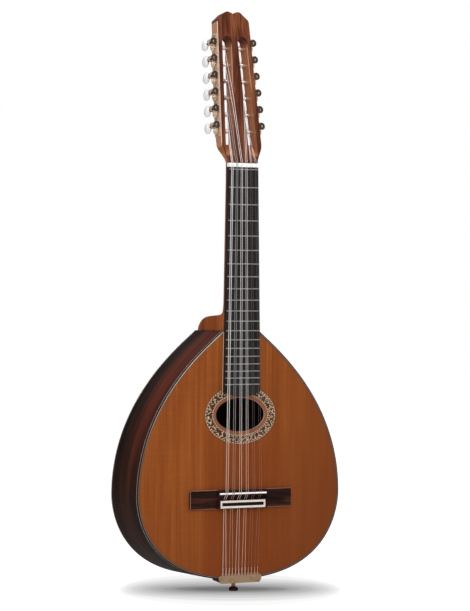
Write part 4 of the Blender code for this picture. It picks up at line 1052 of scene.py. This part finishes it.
def makeFootLines():
    # A thin pale shim shows on either side of the board's foot
    bm = bmesh.new()
    top, low, inner, outer = body["joint"] - 2 * mm, -364 * mm, -0.5 * mm, 0.7 * mm
    for side in (-1, 1):
        corners = ((top, inner), (top, outer), (low, outer), (low, inner))
        shape = [(boardHalf(z) * side + out * side, z) for z, out in corners]
        merge(bm, flatShape(shape, -0.45 * mm, 0.2 * mm))
    finishPiece(bm, "boardFootLines", holeEdge)


makeNeck()
makeBoard()
makeFootLines()
refined("nut", "boneNut", bone, 0.25 * mm)
print("neck ready")


# Head

refined("head", "headBlock", headCore, 0.5 * mm)
refined("head_veneer", "headVeneer", headFace, 0.3 * mm)
print("head ready")


# Tuning machines, built round the world's origin and then placed

machine = {
    "count": 6,
    "first": 54.2 * mm,
    "pitch": 26.5 * mm,
    "half0": 36.2 * mm,
    "depth": 11.5 * mm,
    "out": 4.7 * mm,
    "above": 8.0 * mm,
    "roller": 3 * mm,
    "reach": 26.7 * mm,
    "teeth": 14,
    "gearRadius": 5.6 * mm,
    "gearWide": 2.6 * mm,
    "wormRadius": 2.4 * mm,
    "wormPitch": math.pi * 0.8 * mm,
    "wormTurns": 2.75,
    "addendum": 0.62 * mm,
    "dedendum": 0.85 * mm,
    "backlash": 0.32 * mm,
    "lugEnd": 7.6 * mm,
    "buttonBack": 23.4 * mm,
    "buttonLong": 17.5 * mm,
    "buttonTall": 18 * mm,
    "buttonThick": 7.6 * mm,
    # An ear starts this far out from the head's side, and its disc lies this far past the shaft
    "earStart": 1.6 * mm,
    "earPast": 1.6 * mm,
    # The rib between the slots ends this far inside the head's sides
    "ribInside": 23.7 * mm,
}
headMatrix = Matrix.Translation(head["pivot"]) @ Matrix.Rotation(-head["tilt"], 4, "X")


def machineRise(n):
    return (n - (machine["count"] - 1) / 2) * machine["pitch"]


def sideMatrix(side):
    # The middle of one side of the head, turned along its taper
    middle = machine["first"] - machineRise(0)
    half = machine["half0"] - head["taper"] * middle
    turn = Matrix.Rotation(-side * math.atan(head["taper"]), 4, "Y")
    return headMatrix @ moveBy(side * half, 0, middle) @ turn


def slottedScrew(bm, radius, tall, matrix, turn):
    # A round head in two halves with the driver's slot between them, on a disc
    round_ = {"cap_ends": True, "segments": 28, "radius1": radius}
    for sign in (-1, 1):
        part = bmesh.new()
        bmesh.ops.create_cone(part, radius2=radius * 0.72, depth=tall, **round_)
        plane = (0, sign * radius * 0.14, 0)
        geom = part.verts[:] + part.edges[:] + part.faces[:]
        cut = bmesh.ops.bisect_plane(part, geom=geom, plane_co=plane, plane_no=(0, sign, 0), clear_inner=True)
        edges = [g for g in cut["geom_cut"] if isinstance(g, bmesh.types.BMEdge)]
        bmesh.ops.edgeloop_fill(part, edges=edges)
        merge(bm, part, matrix @ Matrix.Rotation(turn, 4, "Z") @ moveBy(z=tall / 2))
    part = bmesh.new()
    bmesh.ops.create_cone(part, radius2=radius * 0.9, depth=tall * 0.55, **round_)
    merge(bm, part, matrix @ moveBy(z=tall * 0.27))


def wormBase():
    # Shaft, washers and ferrule turned round Y, with the thread spun on
    bm = bmesh.new()
    root = machine["wormRadius"] - machine["dedendum"]
    end = machine["lugEnd"]
    profile = [(0, -end - 0.9 * mm), (root - 0.3 * mm, -end - 0.9 * mm), (root, -end - 0.6 * mm)]
    behind = end + 0.5 * mm
    profile.append((root, behind))
    # The ferrule: radius, and distance behind the lug
    ferrule = [(2.6, 0), (2.6, 0.8), (1.9, 1.2), (1.75, 2.2), (2.3, 3.2), (2.75, 4.4), (2.5, 5.6), (1.7, 6.4)]
    profile += [(radius * mm, behind + y * mm) for radius, y in ferrule]
    neckEnd = machine["buttonBack"] - machine["buttonLong"] * 0.36
    profile += [(1.7 * mm, neckEnd), (0, neckEnd)]
    turned(bm, [(x, y, 0) for x, y in profile], 28)
    half = (machine["wormPitch"] - machine["backlash"]) / 4
    slope = math.tan(math.radians(20))
    crown = machine["wormRadius"] + machine["addendum"]
    rise, fall = machine["addendum"] * slope, machine["dedendum"] * slope
    turns, perTurn, foot = machine["wormTurns"], 26, root - 0.1 * mm
    ridge = []
    for radius, y in ((foot, -half - fall), (crown, -half + rise), (crown, half - rise), (foot, half + fall)):
        spot = Vector((0, y - turns / 2 * machine["wormPitch"], -radius))
        ridge.append(bm.verts.new(Matrix.Rotation(-turns * math.pi, 3, "Y") @ spot))
    face = bm.faces.new(ridge)
    steps = round(turns * perTurn)
    climb = turns * machine["wormPitch"] / steps
    thread = {"dvec": (0, climb, 0), "angle": turns * 2 * math.pi, "steps": steps}
    bmesh.ops.spin(bm, geom=[face], cent=(0, 0, 0), axis=(0, 1, 0), **thread)
    return bm


def buttonBase():
    # A flattened oval with a short collar towards the shaft
    bm = bmesh.new()
    bmesh.ops.create_uvsphere(bm, u_segments=32, v_segments=20, radius=0.5)
    bmesh.ops.rotate(bm, matrix=quarterTurn("X").to_3x3(), verts=bm.verts)
    thick, long, tall = machine["buttonThick"], machine["buttonLong"], machine["buttonTall"]
    for vert in bm.verts:
        x, y, z = vert.co * 2
        away = math.hypot(x, z)
        full = away ** 0.86 / away if away > 1e-6 else 1.0
        vert.co = (x * full * thick / 2, machine["buttonBack"] + y * long / 2, z * full * tall / 2)
    part = bmesh.new()
    low = machine["buttonBack"] - long * 0.5
    collar = [(0, -1.1), (2.5, -1.1), (2.7, 0), (2.3, 2.5), (0, 3)]
    turned(part, [(radius * mm, low + y * mm, 0) for radius, y in collar], 24)
    merge(bm, part)
    return bm


def gearBase():
    # The wheel: a ring of teeth pushed to its width and twisted with the worm's lead
    bm = bmesh.new()
    heights = [0.0, 0.0, 0.45, 1.0, 1.0, 0.45, 0.0, 0.0]
    count = len(heights) * machine["teeth"]
    root = machine["gearRadius"] - machine["dedendum"]
    tip = machine["gearRadius"] + machine["addendum"]
    half = machine["gearWide"] / 2
    lead = math.atan(machine["wormPitch"] / (2 * math.pi * machine["wormRadius"]))
    twist = machine["gearWide"] * math.tan(lead) / machine["gearRadius"]
    ring = []
    for i in range(count):
        angle = 2 * math.pi * (i + 0.5) / count - twist / 2
        radius = root + (tip - root) * heights[i % len(heights)]
        ring.append((machine["out"] - half, -radius * math.sin(angle), radius * math.cos(angle)))
    face = bm.faces.new(addRing(bm, ring)[0])
    far = push(bm, [face], (machine["gearWide"], 0, 0))
    bmesh.ops.rotate(bm, cent=(0, 0, 0), matrix=Matrix.Rotation(twist, 3, "X"), verts=far)
    for face in [f for f in bm.faces if len(f.verts) > 8]:
        bmesh.ops.inset_individual(bm, faces=[face], thickness=1.5 * mm, depth=-0.25 * mm)
    outside = moveBy(machine["out"] + half - 0.25 * mm) @ quarterTurn("Y")
    slottedScrew(bm, 2.3 * mm, 1.3 * mm, outside, 0.9)
    return bm


def rollerBase():
    bm = bmesh.new()
    out, reach, radius, ease = machine["out"], machine["reach"], machine["roller"], 0.3 * mm
    profile = [(-reach, 0), (-reach, radius - ease), (-reach + ease, radius), (out, radius), (out, 0)]
    turned(bm, [(x, y, 0) for x, y in profile], 32, axis=(1, 0, 0))
    return bm


def placedCopy(base, matrix):
    bm = base.copy()
    bmesh.ops.transform(bm, matrix=matrix, verts=bm.verts)
    return bm


def paintEarRimShade(plate, whole, side):
    # Painted shade: the ears' rims take the dark steel, and their round faces stay bright
    plate.data.materials.append(wormSteelAndShade)
    back = whole.inverted()
    turn = back.to_3x3()
    for face in plate.data.polygons:
        spot = back @ face.center
        if spot.x * side > machine["earStart"] and abs((turn @ face.normal).y) < 0.7:
            face.material_index = 1


def addShadeRing(bm, matrix):
    # A dark ring of painted shade on an ear's front face
    part = bmesh.new()
    profile = [(1.7, 0), (1.7, -0.2), (2.1, -0.4), (5.4, -0.4), (5.9, -0.1), (5.9, 0.6), (1.7, 0.6), (1.7, 0)]
    turned(part, [(x * mm, y * mm, 0) for x, y in profile], 28)
    merge(bm, part, matrix)


def makeMachines():
    worm, button, gear, roller = wormBase(), buttonBase(), gearBase(), rollerBase()
    depth, last = machine["depth"], machine["count"] - 1
    for side, word in ((-1, "left"), (1, "right")):
        whole = sideMatrix(side)
        title = word.title()
        plate = refined("machine_plate_" + word, "machinePlate" + title, goldPlate, 0.2 * mm)
        paintEarRimShade(plate, whole, side)
        screws = bmesh.new()
        rises = [machineRise(n) - 9.4 * mm for n in range(1, machine["count"])]
        rises = [machineRise(0) - 6.8 * mm] + rises + [machineRise(last) + 18.7 * mm]
        for n, rise in enumerate(rises):
            spot = whole @ moveBy(side * 1.25 * mm, depth, rise) @ quarterTurn("Y", side)
            slottedScrew(screws, 1.9 * mm, 0.8 * mm, spot, 0.7 * n)
        finishPiece(screws, "plateScrews" + title, screwSteel, clean=False)
        # Dark rings of painted shade on the ears' front faces
        rims = bmesh.new()
        for n in range(machine["count"]):
            out = side * (machine["out"] + machine["earPast"])
            addShadeRing(rims, whole @ moveBy(out, depth - machine["lugEnd"], machineRise(n) + machine["above"]))
        finishPiece(rims, "earShadeRings" + title, wormSteelAndShade)
        half = quarterTurn("Z", 2 if side < 0 else 0)
        for n in range(machine["count"]):
            rise = machineRise(n)
            label = f"_{word}_{n + 1}"
            axle = whole @ moveBy(0, depth, rise) @ half
            key = whole @ moveBy(side * machine["out"], depth, rise + machine["above"])
            rows = [
                (gear, axle, "wormWheel", brassGear, "roller", "brass", 28, False),
                (roller, axle, "stringRoller", rollerSteel, "roller", "steel", 40, True),
                (worm, key, "wormShaft", wormSteelAndShade, "tuner", "brass", 35, True),
                (button, key, "pearlButton", pearl, "tuner", "bone", 40, True),
            ]
            for base, spot, name, material, mover, slot, sharp, clean in rows:
                moving = mover + label
                stands = (moving,) if slot == "brass" else ()
                copy = placedCopy(base, spot)
                finishPiece(copy, name + label, material, moving, stands, sharp, clean=clean)
    for base in (worm, button, gear, roller):
        base.free()


makeMachines()
print("tuning machines ready")


# Bridge, saddle and tailpiece

bridge = {
    "half": 90 * mm,
    "high": -514 * mm,
    "low": -543 * mm,
    "corner": 1.5 * mm,
    "wing": 4 * mm,
    "gap": 0.3 * mm,
    "middleHalf": 43.5 * mm,
    # The middle block's section, as Y and Z in mm
    "profile": [
        (-1.0, -542.9),
        (-9.2, -542.9),
        (-9.2, -529.6),
        (-3.4, -529.6),
        (-3.4, -528.1),
        (-8.6, -522.9),
        (-8.6, -516.7),
        (-7.0, -514.1),
        (-1.0, -514.1),
    ],
}


def makeBridge():
    half, high, low, corner = bridge["half"], bridge["high"], bridge["low"], bridge["corner"]
    outline = [(-half, low), (half, low), (half, high - corner)]
    outline += [(half - corner, high), (-half + corner, high), (-half, high - corner)]
    wings = flatShape(outline, -bridge["gap"] - bridge["wing"], -bridge["gap"])
    piece = finishPiece(wings, "bridgeWings", bridgeWood, "laud", ("bridge",), bevel=0.45 * mm)
    # The bevels take the paler wood: a painted highlight along the wings' edges
    piece.data.materials.append(bevelHighlight)
    piece.modifiers["rounded"].material = 1
    bm = bmesh.new()
    across = bridge["middleHalf"]
    face = bm.faces.new(addRing(bm, [(-across, y * mm, z * mm) for y, z in bridge["profile"]])[0])
    push(bm, [face], (2 * across, 0, 0))
    finishPiece(bm, "bridgeBlock", bridgeWood, bevel=0.3 * mm)


makeBridge()
refined("saddle", "boneSaddle", bone, 0.25 * mm)
refined("block_frame", "blockFrame", agedBone, 0.2 * mm)
refined("tailpiece", "brassTailpiece", tailBrass, 0.25 * mm)
refined("end_wedge", "endWedge", ebonyEdge, 0.3 * mm)

# The button's profile: radius and height over its foot, in mm
endButton = {
    "depth": 19.5 * mm,
    "low": -673.4 * mm,
    "profile": [
        (0, 31.6),
        (2, 31.6),
        (2, 14.4),
        (3.3, 14.4),
        (3.0, 9.4),
        (3.4, 6.9),
        (4.4, 6.0),
        (6.0, 5.4),
        (6.9, 4.6),
        (7.3, 3.4),
        (7.3, 2.4),
        (7.0, 1.0),
        (6.3, 0),
        (0, 0),
    ],
}


def makeEndButton():
    bm = bmesh.new()
    depth, low = endButton["depth"], endButton["low"]
    profile = [(radius * mm, depth, low + up * mm) for radius, up in endButton["profile"]]
    turned(bm, profile, 40, axis=(0, 0, 1), centre=(0, depth, 0))
    finishPiece(bm, "endButton", buttonWood, stands=("end_button",), sharp=45)


makeEndButton()
print("bridge and tail ready")


# Strings

strings = {
    "count": 12,
    "diameters": [1.05, 0.85, 0.7, 0.6, 0.5, 0.45],
    "finish": [woundBright, woundGrey, brightWire, brightWire, thinWire, thinWire],
    "nutSpread": 44.7 * mm,
    "nutPair": 2.5 * mm,
    "saddleSpread": 63.9 * mm,
    "saddlePair": 3.5 * mm,
    "tailSpread": 62 * mm,
    "hookY": -1.65 * mm,
    "hookZ": -644.3 * mm,
    "tieY": -5.6 * mm,
    "tieZ": -543.4 * mm,
    "blockZ": -529.2 * mm,
    "saddleY": -11.62 * mm,
    "saddleLow": -520.3 * mm,
    "saddleHigh": -519.4 * mm,
    "fretY": -7.45 * mm,
    "nutZ": -8.6 * mm,
    "veneerGap": 0.1 * mm,
    "ribStart": 13 * mm,
    "ribRoom": 1 * mm,
    # Where the windings start inside the head's left and right side, and their gaps
    "startLeft": 14.7 * mm,
    "startRight": 17.3 * mm,
    "rollerGap": 0.03 * mm,
    "turnGap": 0.06 * mm,
    "turns": 3.0,
    "perTurn": 24,
    # The eye round the hook and the twist above it
    "eyeZ": -645.6 * mm,
    "eyeRadius": 1.5 * mm,
    "eyeSteps": 24,
    "twistZ": -644.6 * mm,
    "twistRise": 9 * mm,
    "twistTurns": 7,
    "twistSteps": 84,
    "loopThin": 0.3 * mm,
}


def stringX(number, place):
    # The courses are spread evenly, and each is a pair
    spread, pair = strings[place + "Spread"], strings[place + "Pair"]
    last = len(strings["diameters"]) - 1
    return (number // 2 - last / 2) * (spread - pair) / last + (number % 2 * 2 - 1) * pair / 2


def tailX(number):
    return strings["tailSpread"] * (number / (strings["count"] - 1) - 0.5)


def windingPoints(radius, side, index):
    reach = machine["roller"] + radius + strings["rollerGap"]
    pitch = 2 * radius + strings["turnGap"]
    start = strings["startLeft"] if side < 0 else strings["startRight"]
    whole = sideMatrix(side)
    rise = machineRise(index)
    made = []
    for step in range(round(strings["turns"] * strings["perTurn"]) + 1):
        angle = 2 * math.pi * step / strings["perTurn"]
        outward = -start + pitch * step / strings["perTurn"]
        behind = machine["depth"] - reach * math.cos(angle)
        made.append(whole @ Vector((side * outward, behind, rise + reach * math.sin(angle))))
    return made


def offRib(xNut, wound):
    # Where a string leaves the rib between the slots, in the head's frame
    steps = 200
    for step in range(steps):
        share = step / steps
        x = xNut + (wound.x - xNut) * share
        u = neck["headStart"] + (wound.z - neck["headStart"]) * share
        rib = machine["half0"] - head["taper"] * u - machine["ribInside"]
        if u > strings["ribStart"] and abs(x) > rib + strings["ribRoom"]:
            return x, u
    return xNut, strings["ribStart"]


def makeStrings():
    for number in range(strings["count"]):
        radius = strings["diameters"][number // 2] * mm / 2
        side = -1 if number < strings["count"] / 2 else 1
        index = number if side < 0 else strings["count"] - 1 - number
        turns = windingPoints(radius, side, index)
        xNut, xSaddle = stringX(number, "nut"), stringX(number, "saddle")
        x, u = offRib(xNut, headMatrix.inverted() @ turns[0])
        tie, crown, fretLine = strings["tieY"], strings["saddleY"] - radius, strings["fretY"] - radius
        route = [
            Vector((tailX(number), strings["hookY"], strings["hookZ"])),
            Vector((xSaddle, tie, strings["tieZ"])),
            Vector((xSaddle, tie, strings["blockZ"])),
            Vector((xSaddle, crown, strings["saddleLow"])),
            Vector((xSaddle, crown, strings["saddleHigh"])),
            Vector((xNut, fretLine, neck["zeroFret"])),
            Vector((xNut, fretLine, strings["nutZ"])),
            headMatrix @ Vector((x, -radius - strings["veneerGap"], u)),
        ] + turns
        curve = bpy.data.curves.new("stringCurve", "CURVE")
        curve.dimensions = "3D"
        curve.bevel_depth = radius
        curve.bevel_resolution = 3
        curve.use_fill_caps = True
        spline = curve.splines.new("POLY")
        spline.points.add(len(route) - 1)
        for point, spot in zip(spline.points, route):
            point.co = (*spot, 1)
        piece = linkNew(f"wire_{number + 1:02d}", curve)
        curve.materials.append(strings["finish"][number // 2])
        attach(piece, "laud")
        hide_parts(f"string_{number + 1:02d}")


def addCoil(bm, thin, reach, matrix, steps, turns=1, rise=0.0):
    # A thin wire spun round Z, closed when it doesn't rise
    part = bmesh.new()
    section = {"cap_ends": True, "segments": 8, "radius": thin, "matrix": moveBy(reach) @ quarterTurn("X")}
    bmesh.ops.create_circle(part, **section)
    path = {"dvec": (0, 0, rise / steps), "angle": 2 * math.pi * turns, "steps": steps, "use_merge": not rise}
    bmesh.ops.spin(part, geom=part.faces[:], cent=(0, 0, 0), axis=(0, 0, 1), **path)
    merge(bm, part, matrix)


def makeLoops():
    # Each string's loop: an eye round its hook and the twist above it
    bm = bmesh.new()
    steps, eyeRadius, eyeSteps = strings["twistSteps"], strings["eyeRadius"], strings["eyeSteps"]
    winding = {"turns": strings["twistTurns"], "rise": strings["twistRise"]}
    for number in range(strings["count"]):
        radius = strings["diameters"][number // 2] * mm / 2
        x, y = tailX(number), strings["hookY"]
        low = Vector((x, y, strings["twistZ"]))
        along = Vector((stringX(number, "saddle"), strings["tieY"], strings["tieZ"])) - low
        turn = Vector((0, 0, 1)).rotation_difference(along.normalized()).to_matrix().to_4x4()
        thin = min(radius, strings["loopThin"])
        addCoil(bm, thin, radius + thin * 0.8, Matrix.Translation(low) @ turn, steps, **winding)
        addCoil(bm, thin, eyeRadius, moveBy(x, y, strings["eyeZ"]) @ quarterTurn("X"), eyeSteps)
    finishPiece(bm, "stringLoops", brightWire, sharp=60, clean=False)


makeStrings()
makeLoops()
print("strings ready")


# Floor, light and camera

floorShadow = {
    "centre": (7.5 * mm, 40.3 * mm),
    "across": 182 * mm,
    "deep": 243 * mm,
    "turn": math.radians(29.6),
    # Each ring's share of the width and depth, and what it leaves of the light
    "rings": [
        (1.0, 1.0, 0.8),
        (0.93, 0.68, 0.825),
        (0.85, 0.5, 0.83),
        (0.75, 0.36, 0.8),
        (0.62, 0.25, 0.8),
        (0.5, 0.17, 0.71),
        (0.35, 0.1, 0.76),
    ],
}


def shadowLevel(vector):
    # A painted shadow: soft rings, one inside the other, that darken towards the middle
    level = 1.0
    for wide, deep, share in floorShadow["rings"]:
        ring = length(scaled(vector, 1 / (wide * floorShadow["across"]), 1 / (deep * floorShadow["deep"]), 0))
        level = times(plus(times(mask(ring, 0.9, 1.04), 1 - share), share), level)
    return level


def greyRamp(value, high):
    return ramp(value, [(0.0, (0.0, 0.0, 0.0)), (1.0, (high, high, high))])


def makeStage():
    floor = bmesh.new()
    bmesh.ops.create_grid(floor, x_segments=1, y_segments=1, size=6)
    mesh = bpy.data.meshes.new("floor")
    floor.to_mesh(mesh)
    floor.free()
    piece = linkNew("floor", mesh)
    piece.location = (0, 0, endButton["low"])
    material, vector = startMaterial("paleFloor")
    x, y = floorShadow["centre"]
    inputs = {"Vector": moved(vector, (-x, -y, 0)), "Rotation": (0, 0, floorShadow["turn"])}
    turnedVector = addNode(vector.id_data, "ShaderNodeMapping", inputs, vector_type="POINT").outputs[0]
    level = shadowLevel(turnedVector)
    path = addNode(vector.id_data, "ShaderNodeLightPath").outputs
    pale = ramp(noise(vector, scale=3, detail=2), [(0.3, (0.86, 0.86, 0.86)), (0.7, (0.88, 0.88, 0.88))])
    # Polished faces mirror a darker floor; the camera sees white with the painted shadow on it
    pale = mix(path["Is Glossy Ray"], pale, (0.3, 0.3, 0.3))
    colour = mix(path["Is Camera Ray"], pale, greyRamp(level, 0.2))
    finishMaterial(material, colour, 0.9, {"Specular IOR Level": 0.0})
    shader = material.node_tree.nodes["Principled BSDF"].inputs
    feed(greyRamp(level, 1.0), shader["Emission Color"])
    feed(times(path["Is Camera Ray"], 0.95), shader["Emission Strength"])
    mesh.materials.append(material)


def makeWorld():
    world = bpy.data.worlds.new("studio")
    bpy.context.scene.world = world
    world.use_nodes = True
    tree = world.node_tree
    background = tree.nodes["Background"].inputs
    background["Color"].default_value = (1, 1, 1, 1)
    path = addNode(tree, "ShaderNodeLightPath").outputs
    seen = maths("MAXIMUM", path["Is Camera Ray"], path["Is Transmission Ray"])
    # Polished faces see a dim room with a pale ceiling, so that dark woods stay dark
    height = parts(addNode(tree, "ShaderNodeTexCoord").outputs["Generated"])["Z"]
    room = plus(times(mask(height, 0.1, 0.7), 0.4), 0.08)
    isShiny = path["Is Glossy Ray"]
    level = plus(times(minus(1.0, isShiny), 0.55), times(isShiny, room))
    feed(maths("MAXIMUM", seen, level), background["Strength"])


def addLamp(name, spot, aim, size, power, shines=True):
    data = bpy.data.lights.new(name, "AREA")
    data.shape = "RECTANGLE"
    data.size, data.size_y = size
    data.energy = power
    lamp = linkNew(name, data)
    lamp.location = spot
    lamp.visible_glossy = shines
    lamp.rotation_euler = (Vector(aim) - Vector(spot)).to_track_quat("-Z", "Y").to_euler()


# Fitted to the photograph from the frets and the body's corners
photoView = {
    "yaw": math.radians(29.628),
    "pitch": math.radians(0.147),
    "roll": math.radians(0.288),
    "spot": (-2.0085, -3.5127, -0.2186),
    "focal": 2607.4,
    "picture": 611,
    "sensor": 36,
}


def makeCamera():
    yaw, pitch, roll = photoView["yaw"], photoView["pitch"], photoView["roll"]
    forward = Vector((math.sin(yaw) * math.cos(pitch), math.cos(yaw) * math.cos(pitch), -math.sin(pitch)))
    right = Vector((math.cos(yaw), -math.sin(yaw), 0))
    up = right.cross(forward)
    tiltedRight = right * math.cos(roll) + up * math.sin(roll)
    tiltedUp = up * math.cos(roll) - right * math.sin(roll)
    data = bpy.data.cameras.new("photoView")
    data.lens = photoView["focal"] / photoView["picture"] * photoView["sensor"]
    data.sensor_width = photoView["sensor"]
    data.clip_end = 50
    camera = linkNew("photoView", data)
    turn = Matrix((tiltedRight, tiltedUp, -forward)).transposed().to_4x4()
    camera.matrix_world = Matrix.Translation(photoView["spot"]) @ turn
    bpy.context.scene.camera = camera


makeStage()
makeWorld()
addLamp("keyBox", (-1.6, -2.4, 1.0), (0, 0, -0.35), (1.6, 1.6), 42)
addLamp("fillBox", (1.9, -2.0, 0.2), (0, 0, -0.35), (1.4, 1.8), 13, shines=False)
addLamp("rimBox", (1.47, -1.44, 2.3), (0, 0, 0.1), (0.6, 0.6), 8)
addLamp("topBox", (0.0, -0.1, 1.6), (0, 0.02, -0.6), (1.1, 1.1), 26)
makeCamera()
bpy.context.scene.view_settings.view_transform = "Standard"
print("stage, lamps and camera ready")
